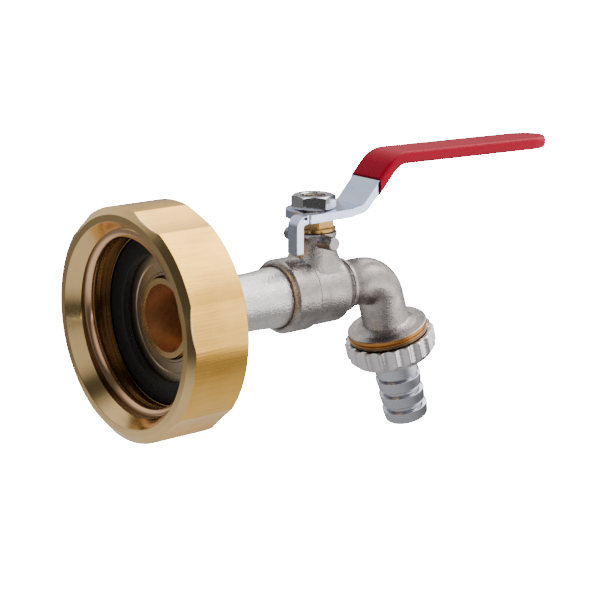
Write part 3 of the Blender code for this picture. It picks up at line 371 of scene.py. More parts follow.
FINISHES = (
    Finish("brushed_brass", (1.0, 0.585, 0.12), (0.74, 0.385, 0.065), 0.23, PIPE, 2600.0, 30e-6, Marks.STREAKS,
           spread=0.07, shade_gain=1.6, patch_scale=45.0),
    Finish("turned_brass", (0.86, 0.59, 0.26), (0.66, 0.42, 0.17), 0.18, PIPE, 2400.0, 10e-6),
    Finish("shaded_brass", (0.74, 0.60, 0.40), (0.46, 0.36, 0.23), 0.34, PIPE, 5200.0, 10e-6),
    # painted_shade_brass: near-black brass that paints shade deep inside the coupling nut, in the seam at the
    # body's mouth and on the outlet flange's band next to the union nut.
    Finish("painted_shade_brass", (0.16, 0.105, 0.065), (0.09, 0.06, 0.035), 0.30, PIPE, 5200.0, 8e-6),
    Finish("crest_brass", (0.92, 0.58, 0.33), (0.66, 0.38, 0.20), 0.20, PIPE, 5200.0, 4e-6),
    Finish("bore_brass", (0.96, 0.62, 0.36), (0.64, 0.40, 0.22), 0.34, PIPE, 3000.0, 6e-6, Marks.STREAKS,
           metallic=0.8),
    Finish("stem_brass", (0.78, 0.66, 0.50), (0.60, 0.48, 0.33), 0.26, STEM, 6000.0, 6e-6),
    # Gland nut brass darkened as painted shade, for its place under the lever.
    Finish("gland_brass_in_shade", (0.40, 0.25, 0.085), (0.20, 0.115, 0.035), 0.24, STEM, 6000.0, 6e-6),
    # Near-black matte colour for the notch at the lever's fold: painted shade inside the notch.
    Finish("notch_shade", (0.045, 0.045, 0.05), (0.03, 0.03, 0.034), 0.6, STEM, 6000.0, 6e-6, Marks.SPECKLE,
           metallic=0.0),
    Finish("outlet_brass", (0.55, 0.25, 0.07), (0.28, 0.115, 0.032), 0.19, OUTLET, 2600.0, 10e-6,
           shade_gain=1.6),
    Finish("cast_nickel", (0.43, 0.393, 0.376), (0.215, 0.192, 0.182), 0.28, PIPE, 3000.0, 20e-6, Marks.SPECKLE,
           spread=0.06, grain_scale=1500.0, grain_depth=130e-6, shade_gain=1.4, patch_scale=170.0),
    Finish("turned_nickel", (0.72, 0.685, 0.66), (0.52, 0.49, 0.46), 0.29, PIPE, 5200.0, 4e-6, Marks.SPECKLE,
           spread=0.06, grain_scale=1500.0, grain_depth=220e-6, shade_gain=1.2, patch_scale=170.0),
    Finish("satin_nickel", (0.82, 0.78, 0.805), (0.62, 0.585, 0.605), 0.18, OUTLET, 3000.0, 10e-6, Marks.SPECKLE,
           grain_scale=1500.0, grain_depth=70e-6, shade_gain=1.2),
    Finish("bright_chrome", (0.64, 0.64, 0.70), (0.45, 0.45, 0.50), 0.20, OUTLET, 5200.0, 6e-6, spread=0.04),
    Finish("bright_zinc", (0.72, 0.80, 1.0), (0.54, 0.62, 0.84), 0.16, STEM, 1500.0, 8e-6, Marks.STREAKS,
           grain_scale=900.0, grain_depth=30e-6, shade_gain=1.4, patch_scale=160.0),
    Finish("nut_zinc", (0.68, 0.66, 0.67), (0.50, 0.485, 0.49), 0.11, STEM, 6000.0, 5e-6),
    Finish("dipped_vinyl", (0.36, 0.004, 0.024), (0.29, 0.003, 0.018), 0.25, STEM, 1600.0, 6e-6, Marks.SPECKLE,
           metallic=0.0, grain_scale=700.0, grain_depth=10e-6, gloss=0.06),
    Finish("black_rubber", (0.022, 0.023, 0.026), (0.034, 0.035, 0.038), 0.55, PIPE, 2600.0, 20e-6, spread=0.06,
           metallic=0.0),
    Finish("sealing_plastic", (0.84, 0.84, 0.82), (0.74, 0.74, 0.70), 0.45, PIPE, 4000.0, 6e-6, metallic=0.0),
)


class Workshop:
    """Mesh tools and finishes shared by the sub-assemblies."""

    FLAT_BEND = math.radians(3.0)
    SIDE_SHARE = 0.4
    SUPPORT_SHARE = 0.08
    SUPPORT_REACH = 0.2
    SUPPORT_LEAST = 0.02 * MM
    CORNER_STEPS = 3
    FRAME_MERGE = MM / 200
    FRAME_FLAT = math.radians(1.0)
    EDGE_STEPS = 3

    def __init__(self) -> None:
        """Build the finishes and make the collection for the pieces."""
        groups = SurfaceGroups()
        self.finishes = {finish.name: finish.build(groups) for finish in FINISHES}
        self.collection = bpy.data.collections.new("valve_dressed")
        bpy.context.scene.collection.children.link(self.collection)

    def dress(self, mesh: bpy.types.Mesh, *finishes: str) -> None:
        """Give a mesh these finishes and no others.

        Args:
            mesh: The mesh.
            finishes: Names of the finishes.
        """
        mesh.materials.clear()
        for finish in finishes:
            mesh.materials.append(self.finishes[finish])

    def paint(self, obj: Object, finishes: Sequence[str],
              choose: Callable[[bpy.types.MeshPolygon], int]) -> None:
        """Give a piece several finishes.

        Args:
            obj: The piece.
            finishes: Names of the finishes, the usual one first.
            choose: Number of the finish for a face.
        """
        self.dress(obj.data, *finishes)
        for face in obj.data.polygons:
            face.material_index = choose(face)

    def piece(self, name: str, mesh: bpy.types.Mesh, *finishes: str) -> Object:
        """Link a mesh, already in the row frame, as a piece with these finishes.

        Args:
            name: The piece's name.
            mesh: Its mesh.
            finishes: Names of its finishes.

        Returns:
            The piece.
        """
        obj = bpy.data.objects.new(name, mesh)
        mesh.name = name
        self.collection.objects.link(obj)
        self.dress(mesh, *finishes)
        return obj

    def solid(self, name: str, verts: list[Place], faces: list[tuple[int, ...]], axis: TurningAxis | None,
              finish: str) -> Object:
        """Make a closed solid.

        Args:
            name: The piece's name.
            verts: Its points.
            faces: Point numbers of each face.
            axis: The axis that the points are set on, or None where they lie right.
            finish: Name of its finish.

        Returns:
            The piece.
        """
        mesh = bpy.data.meshes.new(name)
        mesh.from_pydata(verts, [], faces)
        if axis:
            mesh.transform(axis.matrix())
        self.tidy(mesh)
        return self.piece(name, mesh, finish)

    def rounded(self, profile: Sequence[Point], radius: float, closed: bool) -> list[Point]:
        """Round the corners of a turned profile and put a supporting point on each side of them.

        Args:
            profile: Corners as (station, radius) pairs.
            radius: Corner radius wanted.
            closed: True for a ring's section, False for a line whose two ends stay.

        Returns:
            The finer profile.
        """
        count = len(profile)
        result: list[Point] = []
        for i, corner in enumerate(profile):
            here = Vector(corner)
            before = Vector(profile[(i - 1) % count]) - here
            after = Vector(profile[(i + 1) % count]) - here
            is_end = not closed and i in (0, count - 1)
            if is_end or math.pi - before.angle(after) < self.FLAT_BEND:
                result.append(corner)
                continue
            shorter = min(before.length, after.length)
            reach = min(radius * math.tan((math.pi - before.angle(after)) / 2), shorter * self.SIDE_SHARE)
            support = min(self.SUPPORT_REACH * reach + self.SUPPORT_LEAST, shorter * self.SUPPORT_SHARE)
            start = here + before.normalized() * reach
            end = here + after.normalized() * reach
            result.append(tuple(start + before.normalized() * support))
            result += [tuple(start * (1 - t) ** 2 + here * 2 * t * (1 - t) + end * t ** 2)
                       for t in shares(self.CORNER_STEPS)]
            result.append(tuple(end + after.normalized() * support))
        return result

    def turned(self, name: str, profile: Sequence[Point], axis: TurningAxis | None, finish: str,
               closed: bool = True, steps: int = 144, corner: float = 0.12 * MM,
               angles: Sequence[float] | None = None) -> Object:
        """Turn a profile round an axis into a closed solid.

        Args:
            name: The piece's name.
            profile: Corners as (station, radius) pairs.
            axis: The axis that it turns round, or None to leave it on Z.
            finish: Name of its finish.
            closed: True for a ring's section, False for a line from axis to axis.
            steps: Steps round the axis.
            corner: Radius on the corners.
            angles: Angles of the steps, where they aren't even.

        Returns:
            The piece.
        """
        line = self.rounded(profile, corner, closed) if corner > 0 else list(profile)
        turns = angles or around(steps)
        count = len(line)
        verts = [(r * math.cos(turn), r * math.sin(turn), s) for turn in turns for s, r in line]
        faces: list[tuple[int, ...]] = []
        for j in range(len(turns)):
            k = (j + 1) % len(turns)
            for i in range(count if closed else count - 1):
                n = (i + 1) % count
                faces.append((j * count + i, k * count + i, k * count + n, j * count + n))
        if not closed:
            faces.append(tuple(j * count for j in reversed(range(len(turns)))))
            faces.append(tuple(j * count + count - 1 for j in range(len(turns))))
        return self.solid(name, verts, faces, axis, finish)

    def skinned(self, name: str, rims: Sequence[Sequence[Place]], finish: str) -> Object:
        """Skin a row of closed rims into a solid with flat ends.

        Args:
            name: The piece's name.
            rims: Points of each rim, the same number in each.
            finish: Name of its finish.

        Returns:
            The piece.
        """
        count = len(rims[0])
        last = (len(rims) - 1) * count
        faces: list[tuple[int, ...]] = [tuple(range(count)), tuple(range(last, last + count))]
        for start in range(0, last, count):
            for i in range(count):
                k = (i + 1) % count
                faces.append((start + i, start + k, start + count + k, start + count + i))
        return self.solid(name, [point for rim in rims for point in rim], faces, None, finish)

    @staticmethod
    def tidy(mesh: bpy.types.Mesh, merge: float = MM / 1000) -> None:
        """Merge doubled points, turn faces outwards and shade the mesh smooth.

        Args:
            mesh: The mesh.
            merge: Distance within which points are merged.
        """
        bm = bmesh.new()
        bm.from_mesh(mesh)
        bmesh.ops.remove_doubles(bm, verts=bm.verts, dist=merge)
        bmesh.ops.recalc_face_normals(bm, faces=bm.faces)
        for face in bm.faces:
            face.smooth = True
        bm.to_mesh(mesh)
        bm.free()

    @staticmethod
    def bake(obj: Object) -> None:
        """Swap a piece's mesh for the plain result of its modifiers and remove them.

        Args:
            obj: The piece.
        """
        graph = bpy.context.evaluated_depsgraph_get()
        graph.update()
        mesh = bpy.data.meshes.new_from_object(obj.evaluated_get(graph))
        obj.modifiers.clear()
        old = obj.data
        obj.data = mesh
        bpy.data.meshes.remove(old)
        mesh.name = obj.name

    def grow(self, obj: Object, tree: Tree, values: dict[str, object], finish: str, axis: TurningAxis) -> Object:
        """Run a Geometry Nodes tree on a piece that lies along Z and set the result on its axis.

        Args:
            obj: The piece.
            tree: The tree to run.
            values: Values for the tree's named inputs.
            finish: Name of the finish that the tree sets.
            axis: The piece's axis.

        Returns:
            The same object with its new mesh.
        """
        modifier = obj.modifiers.new(tree.name, "NODES")
        modifier.node_group = tree
        values = dict(values, Material=self.finishes[finish])
        for item in tree.interface.items_tree:
            if item.in_out == "INPUT" and item.name in values:
                modifier[item.identifier] = values[item.name]
        self.bake(obj)
        obj.data.transform(axis.matrix())
        return obj

    def combine(self, target: Object, other: Object, operation: str) -> None:
        """Join, cut or cross a piece with another, which is used up.

        Args:
            target: The piece that stays.
            other: The piece that is used up.
            operation: Name of the operation.
        """
        modifier = target.modifiers.new("combine", "BOOLEAN")
        modifier.operation = operation
        modifier.solver = "EXACT"
        modifier.material_mode = "TRANSFER"
        modifier.object = other
        self.bake(target)
        bpy.data.objects.remove(other, do_unlink=True)

    def softened(self, node: str, name: str, finish: str, width: float, angle: float = 35.0) -> Object:
        """A copy of a frame node with its edges rounded.

        Args:
            node: The frame node that gives the shape.
            name: The piece's name.
            finish: Name of its finish.
            width: Width of the rounded edges.
            angle: Sharpest angle, in degrees, that is left alone.

        Returns:
            The piece.
        """
        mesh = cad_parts[node].data.copy()
        bm = bmesh.new()
        bm.from_mesh(mesh)
        bmesh.ops.remove_doubles(bm, verts=bm.verts, dist=self.FRAME_MERGE)
        bmesh.ops.dissolve_limit(bm, angle_limit=self.FRAME_FLAT, verts=bm.verts, edges=bm.edges)
        bm.to_mesh(mesh)
        bm.free()
        return self.edged(self.piece(name, mesh, finish), width, self.EDGE_STEPS, angle)

    def edged(self, obj: Object, width: float, segments: int, angle: float) -> Object:
        """Round a piece's edges and keep its flat faces flat in shading.

        Args:
            obj: The piece.
            width: Width of the rounded edges.
            segments: Steps in each rounded edge.
            angle: Sharpest angle, in degrees, that is left alone.

        Returns:
            The piece.
        """
        bevel = obj.modifiers.new("edges", "BEVEL")
        bevel.width = width
        bevel.segments = segments
        bevel.limit_method = "ANGLE"
        bevel.angle_limit = math.radians(angle)
        obj.modifiers.new("normals", "WEIGHTED_NORMAL")
        for polygon in obj.data.polygons:
            polygon.use_smooth = True
        self.bake(obj)
        return obj


class GrowthTrees:
    """Geometry Nodes trees for flutes, coarse threads and repeated barbs."""

    HELIX_STEPS = 150
    THINNEST = 0.02
    AXIS_GUARD = 1e-6

    def __init__(self) -> None:
        """Build every tree once."""
        self.flutes = self._flutes()
        self.helix = self._helix()
        self.row = self._row()

    @staticmethod
    def _start(name: str, values: dict[str, object]) -> tuple:
        """Start a tree that reads a piece, some values and a material."""
        inputs = {"Geometry": "NodeSocketGeometry", **values, "Material": "NodeSocketMaterial"}
        return NodeSheet.group(name, "GeometryNodeTree", inputs, ["Geometry"], "NodeSocketGeometry")

    @staticmethod
    def _end(sheet: NodeSheet, geometry: Socket, given: dict[str, Socket], results: dict[str, Socket]) -> Tree:
        """Close a tree with Realize Instances and Set Material.

        Args:
            sheet: The tree's sheet.
            geometry: Socket with the geometry.
            given: The tree's inputs.
            results: The tree's outputs.

        Returns:
            The tree.
        """
        real = sheet.add("GeometryNodeRealizeInstances", {0: geometry})
        dressed = sheet.add("GeometryNodeSetMaterial", {"Geometry": real.outputs[0], "Material": given["Material"]})
        sheet.join(dressed.outputs[0], results["Geometry"])
        return sheet.tree

    def _flutes(self) -> Tree:
        """Press shallow channels into the outside of a piece turned round Z.

        Returns:
            The tree.
        """
        sheet, given, results = self._start("flutes", {
            "Count": 6, "First Angle": 0.0, "Half Angle": 0.2, "Depth": 0.001, "Radius": 0.01})
        x, y, z, radius = sheet.radial(sheet.add("GeometryNodeInputPosition").outputs[0])
        angle = sheet.math("SUBTRACT", sheet.math("ARCTAN2", y, x), given["First Angle"])
        period = sheet.math("DIVIDE", TURN, given["Count"])
        nearest = sheet.math("ROUND", sheet.math("DIVIDE", angle, period))
        offset = sheet.math("SUBTRACT", angle, sheet.math("MULTIPLY", nearest, period))
        share = sheet.math("DIVIDE", offset, given["Half Angle"])
        drop = sheet.math("MAXIMUM", sheet.math("SUBTRACT", 1.0, sheet.math("MULTIPLY", share, share)), 0.0)
        floor = sheet.math("SUBTRACT", given["Radius"], sheet.math("MULTIPLY", drop, given["Depth"]))
        safe = sheet.math("MAXIMUM", radius, self.AXIS_GUARD)
        scale = sheet.math("MINIMUM", sheet.math("DIVIDE", floor, safe), 1.0)
        moved = sheet.vector(sheet.math("MULTIPLY", x, scale), sheet.math("MULTIPLY", y, scale), z)
        place = sheet.add("GeometryNodeSetPosition", {"Geometry": given["Geometry"], "Position": moved})
        return self._end(sheet, place.outputs[0], given, results)

    def _helix(self) -> Tree:
        """Sweep a ridge section along a helix round Z, thinning out at both ends.

        Returns:
            The tree.
        """
        sheet, given, results = self._start("helix", {
            "Turns": 1.0, "Pitch": 0.006, "Radius": 0.03, "Height": 0.0023, "Root Width": 0.0044,
            "Crest Width": 0.0028, "Run Out": 0.1})
        spiral = sheet.add("GeometryNodeCurveSpiral", {
            "Resolution": self.HELIX_STEPS, "Rotations": given["Turns"], "Start Radius": given["Radius"],
            "End Radius": given["Radius"], "Height": sheet.math("MULTIPLY", given["Turns"], given["Pitch"])})
        upright = sheet.add("GeometryNodeSetCurveNormal", {"Curve": spiral.outputs[0]}, mode="Z_UP")
        along = sheet.add("GeometryNodeSplineParameter").outputs["Factor"]
        fade = sheet.math("MINIMUM", sheet.math("DIVIDE", along, given["Run Out"]),
                          sheet.math("DIVIDE", sheet.math("SUBTRACT", 1.0, along), given["Run Out"]))
        size = sheet.math("MAXIMUM", sheet.math("MINIMUM", fade, 1.0), self.THINNEST)
        section = sheet.add("GeometryNodeCurvePrimitiveQuadrilateral", mode="TRAPEZOID")
        for label, value in (("Offset", 0.0), ("Bottom Width", given["Root Width"]),
                             ("Top Width", given["Crest Width"]), ("Height", given["Height"])):
            sheet.join(value, section.inputs[label])
        stand = sheet.add("GeometryNodeTransform",
                          {"Geometry": section.outputs[0], "Rotation": (0.0, 0.0, math.radians(90.0))})
        sweep = sheet.add("GeometryNodeCurveToMesh", {
            "Curve": upright.outputs[0], "Profile Curve": stand.outputs[0], "Scale": size, "Fill Caps": True})
        return self._end(sheet, sweep.outputs[0], given, results)

    def _row(self) -> Tree:
        """Repeat a piece along Z at even steps.

        Returns:
            The tree.
        """
        sheet, given, results = self._start("row", {"Count": 3, "Spacing": 0.006})
        line = sheet.add("GeometryNodeMeshLine",
                         {"Count": given["Count"], "Offset": sheet.vector(0.0, 0.0, given["Spacing"])})
        copies = sheet.add("GeometryNodeInstanceOnPoints",
                           {"Points": line.outputs[0], "Instance": given["Geometry"]})
        return self._end(sheet, copies.outputs[0], given, results)


class SubAssembly:
    """Base of the sub-assemblies: pieces that are built, dressed and set on their carrier."""

    title = "sub-assembly"

    def __init__(self, shop: Workshop, trees: GrowthTrees) -> None:
        """Keep the tools and start with no pieces.

        Args:
            shop: Mesh tools and finishes.
            trees: Trees that grow shapes.
        """
        self.shop = shop
        self.trees = trees
        self.pieces: list[Object] = []

    def carry(self, obj: Object, carrier: Carrier, *nodes: str) -> None:
        """Set a finished piece on its body.

        Args:
            obj: The piece.
            carrier: The body that it rides on.
            nodes: Frame nodes that it stands for.
        """
        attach(obj, carrier.value)
        if nodes:
            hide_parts(*nodes)
        self.pieces.append(obj)

    def report(self) -> None:
        """Log each piece with its triangle count."""
        for obj in self.pieces:
            obj.data.calc_loop_triangles()
            LOG.info("%s: %s, %d triangles", self.title, obj.name, len(obj.data.loop_triangles))


@dataclass(frozen=True)
class CouplingSizes:
    """Sizes of the coupling nut, in metres."""

    radius: float = 37.48 * MM
    length: float = 24.0 * MM
    front_ring: float = 35.0 * MM
    front_chamfer: float = 1.5 * MM
    rear_chamfer: float = 2.8 * MM
    rear_face: float = 33.5 * MM
    mouth: float = 32.8 * MM
    lead_in: float = 4.5 * MM
    major: float = 30.0 * MM
    crest: float = 27.7 * MM
    pitch: float = 6.0 * MM
    thread_start: float = 4.8 * MM
    crest_width: float = 4.5 * MM
    root_width: float = 5.1 * MM
    thread_root: float = 1.6 * MM
    groove_end: float = 13.8 * MM
    pocket: float = 27.5 * MM
    shoulder: float = 20.8 * MM
    hole: float = 20.0 * MM
    corner: float = 0.25 * MM
    flutes: int = 6
    flute_first: float = math.radians(-10.0)
    flute_half: float = math.radians(10.5)
    flute_depth: float = 1.0 * MM
    turns: float = 370.0 / 360.0
    run_out: float = 40.0 / 370.0


class CouplingNut(SubAssembly):
    """Fluted brass nut with its coarse inside thread."""

    title = "coupling nut"
    sizes = CouplingSizes()
    EVEN_STEPS = 240
    EDGE_NUDGE = 0.006
    CLOSEST_STEPS = 0.002
    ANGLE_DIGITS = 6
    REAR_SHARES = (0.0, 0.15, 0.3, 0.5, 1.0)
    FLAT_NORMAL = 0.9
    MARGIN = 0.1 * MM

    def build(self) -> None:
        """Turn the blank, press in the flutes and sweep the thread."""
        s = self.sizes
        chamfer = [(s.front_chamfer * t, s.front_ring + (s.radius - s.front_ring) * t) for t in shares(5)]
        rear = [(s.length - s.rear_chamfer * (1 - t), s.radius + (s.rear_face - s.radius) * t)
                for t in self.REAR_SHARES]
        inner = [(s.length, s.hole), (s.shoulder, s.hole), (s.shoulder, s.pocket), (s.groove_end, s.pocket),
                 (s.groove_end, s.major), (s.lead_in, s.major), (0.0, s.mouth)]
        nut = self.shop.turned("coupling_nut_body", chamfer + rear + inner, None, "brushed_brass",
                               corner=s.corner, angles=self._angles())
        self.shop.grow(nut, self.trees.flutes, {
            "Count": s.flutes, "First Angle": s.flute_first, "Half Angle": s.flute_half,
            "Depth": s.flute_depth, "Radius": s.radius}, "brushed_brass", PIPE)
        self.shop.paint(nut, ["brushed_brass", "turned_brass", "painted_shade_brass"], self._finish_of)
        self.carry(nut, Carrier.NUT, "coupling_nut")
        thread = self.shop.piece("coupling_thread", bpy.data.meshes.new("coupling_thread"))
        ridge = s.major - s.crest + s.thread_root
        self.shop.grow(thread, self.trees.helix, {
            "Turns": s.turns, "Pitch": s.pitch, "Radius": s.crest + ridge / 2, "Height": ridge,
            "Root Width": s.root_width, "Crest Width": s.crest_width, "Run Out": s.run_out}, "crest_brass",
            PIPE.moved(s.thread_start))
        self.carry(thread, Carrier.NUT)

    def _angles(self) -> list[float]:
        """Steps round the nut, with close pairs at the flutes' edges.

        Returns:
            The angles, in order.
        """
        s = self.sizes
        marks = {round(turn, self.ANGLE_DIGITS) for turn in around(self.EVEN_STEPS)}
        for centre in around(s.flutes, s.flute_first):
            for edge in (-s.flute_half, s.flute_half):
                for nudge in (-self.EDGE_NUDGE, 0.0, self.EDGE_NUDGE):
                    marks.add(round((centre + edge + nudge) % TURN, self.ANGLE_DIGITS))
        steps = sorted(marks)
        return [a for a, b in zip(steps, steps[1:] + [steps[0] + TURN]) if b - a > self.CLOSEST_STEPS]

    def _finish_of(self, face: bpy.types.MeshPolygon) -> int:
        """Dark brass as painted shade at the thread's root, turned brass on the front ring, the mouth and the flat
        faces.

        Args:
            face: A face of the piece.

        Returns:
            Number of its finish.
        """
        s = self.sizes
        centre = face.center
        radius = math.hypot(centre.y, centre.z)
        is_flat = abs(face.normal.x) > self.FLAT_NORMAL
        if centre.x > s.lead_in and radius < s.major + self.MARGIN and not is_flat:
            return 2
        return int(centre.x < s.front_chamfer or radius < s.mouth or is_flat)


@dataclass(frozen=True)
class TankSideSizes:
    """Sizes of the flange, the rubber rings and the tail, in metres along the pipe and from its axis."""

    flange_face: float = 17.7 * MM
    flange_back: float = 20.5 * MM
    flange_radius: float = 27.2 * MM
    hub_radius: float = 17.5 * MM
    hub_end: float = 29.6 * MM
    hub_bore: float = 13.52 * MM
    ring_mark: Point = (14.3 * MM, 18.0 * MM)
    ring_depth: float = 0.25 * MM
    gasket: tuple[float, float, float, float] = (14.3 * MM, 17.4 * MM, 20.8 * MM, 27.3 * MM)
    gasket_corner: float = 0.35 * MM
    seal: tuple[float, float, float, float] = (29.9 * MM, 31.1 * MM, 13.52 * MM, 15.0 * MM)
    seal_corner: float = 0.25 * MM
    tail_end: float = 16.2 * MM
    tail_radius: float = 13.22 * MM
    tail_lip: float = 0.4 * MM
    tail_wall: float = 10.94 * MM
    collar: Place = (31.4 * MM, 33.6 * MM, 15.0 * MM)
    pipe_radius: float = 9.6 * MM
    neck_start: float = 36.6 * MM
    neck_flare: float = 3.0 * MM
    neck_power: float = 2.6
    foot_start: float = 50.3 * MM
    foot: tuple[Point, ...] = ((53.0 * MM, 9.72 * MM), (55.3 * MM, 9.9 * MM))
    foot_end: float = 60.6 * MM
    # Stations of the brass ring at the body's mouth that is darkened as painted shade in the seam.
    seam_shade: Point = (59.8 * MM, 62.0 * MM)
    plug_radius: float = 10.3 * MM
    plug_end: float = 67.4 * MM
    nose_end: float = 68.24 * MM
    bore: float = 7.0 * MM
    bore_cone: Point = (29.2 * MM, 32.2 * MM)
    bare_start: float = 16.5 * MM
    bare_end: float = 31.3 * MM
    bare_depth: float = 1.0 * MM


class TankSide(SubAssembly):
    """Flange, gasket and tail that lead from the tank to the valve."""

    title = "tank side"
    sizes = TankSideSizes()

    def build(self) -> None:
        """Turn the flange, the rubber rings and the tail."""
        s = self.sizes
        inner, outer = s.ring_mark
        flange = self.shop.turned("adapter_flange_turned", [
            (s.flange_face, s.flange_radius), (s.flange_back, s.flange_radius), (s.flange_back, s.hub_radius),
            (s.hub_end, s.hub_radius), (s.hub_end, s.hub_bore), (s.flange_face, s.hub_bore),
            (s.flange_face, inner), (s.flange_face + s.ring_depth, inner + s.ring_depth),
            (s.flange_face + s.ring_depth, outer - s.ring_depth), (s.flange_face, outer)], PIPE, "shaded_brass")
        self.carry(flange, Carrier.VALVE, "adapter_flange")
        for name, node, ring, corner in (
                ("tank_gasket_moulded", "tank_gasket", s.gasket, s.gasket_corner),
                ("tail_seal_moulded", "tail_seal", s.seal, s.seal_corner)):
            start, end, inner, outer = ring
            section = [(start, outer), (end, outer), (end, inner), (start, inner)]
            self.carry(self.shop.turned(name, section, PIPE, "black_rubber", corner=corner), Carrier.VALVE, node)
        self.carry(self._tail(), Carrier.VALVE, "inlet_tail")

    def _tail(self) -> Object:
        """Turn the tail, with plain brass at the tank end and in the bore, and a ring at the body's mouth darkened
        as painted shade.

        Returns:
            The piece.
        """
        s = self.sizes
        collar_start, collar_end, collar_radius = s.collar
        cone_start, cone_end = s.bore_cone
        blend = [(s.neck_start - s.neck_flare * t, s.pipe_radius + s.neck_flare * t ** s.neck_power)
                 for t in reversed(shares(4))]
        tail = self.shop.turned("inlet_tail_turned", [
            (s.tail_end, s.tail_radius - s.tail_lip), (s.tail_end + s.tail_lip, s.tail_radius),
            (collar_start, s.tail_radius), (collar_start, collar_radius), (collar_end, collar_radius)] + blend + [
            (s.foot_start, s.pipe_radius), *s.foot, (s.foot_end, s.plug_radius), (s.plug_end, s.plug_radius),
            (s.plug_end, s.pipe_radius), (s.nose_end, s.pipe_radius), (s.nose_end, s.bore), (cone_end, s.bore),
            (cone_start, s.tail_wall), (s.tail_end, s.tail_wall)], PIPE, "turned_nickel")
        self.shop.paint(tail, ["turned_nickel", "turned_brass", "bore_brass", "painted_shade_brass"], self._finish_of)
        return tail

    def _finish_of(self, face: bpy.types.MeshPolygon) -> int:
        """Bore, tank end, brass ring at the body's mouth darkened as painted shade in the seam, or plate.

        Args:
            face: A face of the piece.

        Returns:
            Number of its finish.
        """
        s = self.sizes
        station = face.center.x
        radius = math.hypot(face.center.y, face.center.z)
        wall = s.tail_radius - s.bare_depth if station < s.collar[0] else (s.pipe_radius + s.bore) / 2
        if s.bare_start < station < s.foot_end and radius < wall:
            return 2
        if station < s.bare_end:
            return 1
        return 3 if s.seam_shade[0] < station < s.seam_shade[1] and radius > s.pipe_radius else 0


@dataclass(frozen=True)
class CastSizes:
    """Sizes of the cast body, in metres."""

    mouth: float = 60.6 * MM
    rim_radius: float = 11.7 * MM
    collar_radius: float = 12.55 * MM
    collar_start: float = 62.1 * MM
    collar_end: float = 70.7 * MM
    step: float = 0.35 * MM
    step_depth: float = 0.3 * MM
    barrel_radius: float = 11.7 * MM
    barrel_corner: float = 0.2 * MM
    shoulder_start: float = 83.8 * MM
    shoulder_end: float = 88.4 * MM
    shoulder_radius: float = 9.0 * MM
    bead_radius: float = 9.35 * MM
    bead_end: float = 89.7 * MM
    neck_radius: float = 7.6 * MM
    neck_foot: float = 8.0 * MM
    neck_foot_rise: float = 8.5 * MM
    neck_foot_along: float = 4.2 * MM
    neck_foot_across: float = 1.6 * MM
    neck_ring: float = 0.25 * MM
    neck_ring_height: float = 1.5 * MM
    neck_edge: float = 0.2 * MM
    neck_top: float = 20.5 * MM
    lug_radius: float = 2.3 * MM
    lug_corner: float = 0.5 * MM
    near_lug: float = 13.4 * MM
    far_lug: float = 11.0 * MM
    spout_start: float = 85.0 * MM
    spout_radius: float = 8.1 * MM
    spout_bend: float = 9.5 * MM
    spout_end: float = 1.4 * MM
    waterway: float = 5.6 * MM
    flange_radius: float = 14.1 * MM
    flange_edge: float = 0.3 * MM
    flange_groove: float = 13.5 * MM
    groove: Place = (1.35 * MM, 1.7 * MM, 2.05 * MM)
    flange_back: float = 3.4 * MM
    # Outlet flange band below the bare edge, darkened as painted shade next to the union nut: where it starts and
    # how far its radius drops.
    shade_band_edge: float = 2.3 * MM
    shade_band_drop: float = 0.15 * MM
    bare_start: float = 0.25 * MM
    bare_radius: float = 12.0 * MM
    male_radius: float = 13.0 * MM
    male_chamfer: float = 0.6 * MM
    male_end: float = 8.6 * MM
    fillet: float = 2.4 * MM
    fillet_rise: float = 2.7 * MM
    fillet_power: float = 2.2
    overlap: float = 0.2 * MM
    chamber: tuple[Point, ...] = ((58.0 * MM, 10.6 * MM), (67.9 * MM, 10.6 * MM), (67.9 * MM, 9.9 * MM),
                                  (86.04 * MM, 9.9 * MM))
    stem_bore: tuple[Point, ...] = ((5.0 * MM, 5.1 * MM), (12.4 * MM, 5.1 * MM), (12.4 * MM, 4.2 * MM),
                                    (15.5 * MM, 4.2 * MM), (15.5 * MM, 6.2 * MM), (22.5 * MM, 6.2 * MM))
    outlet_bore: tuple[Point, ...] = ((0.0, 5.2 * MM), (2.5 * MM, 8.2 * MM), (10.6 * MM, 8.2 * MM))


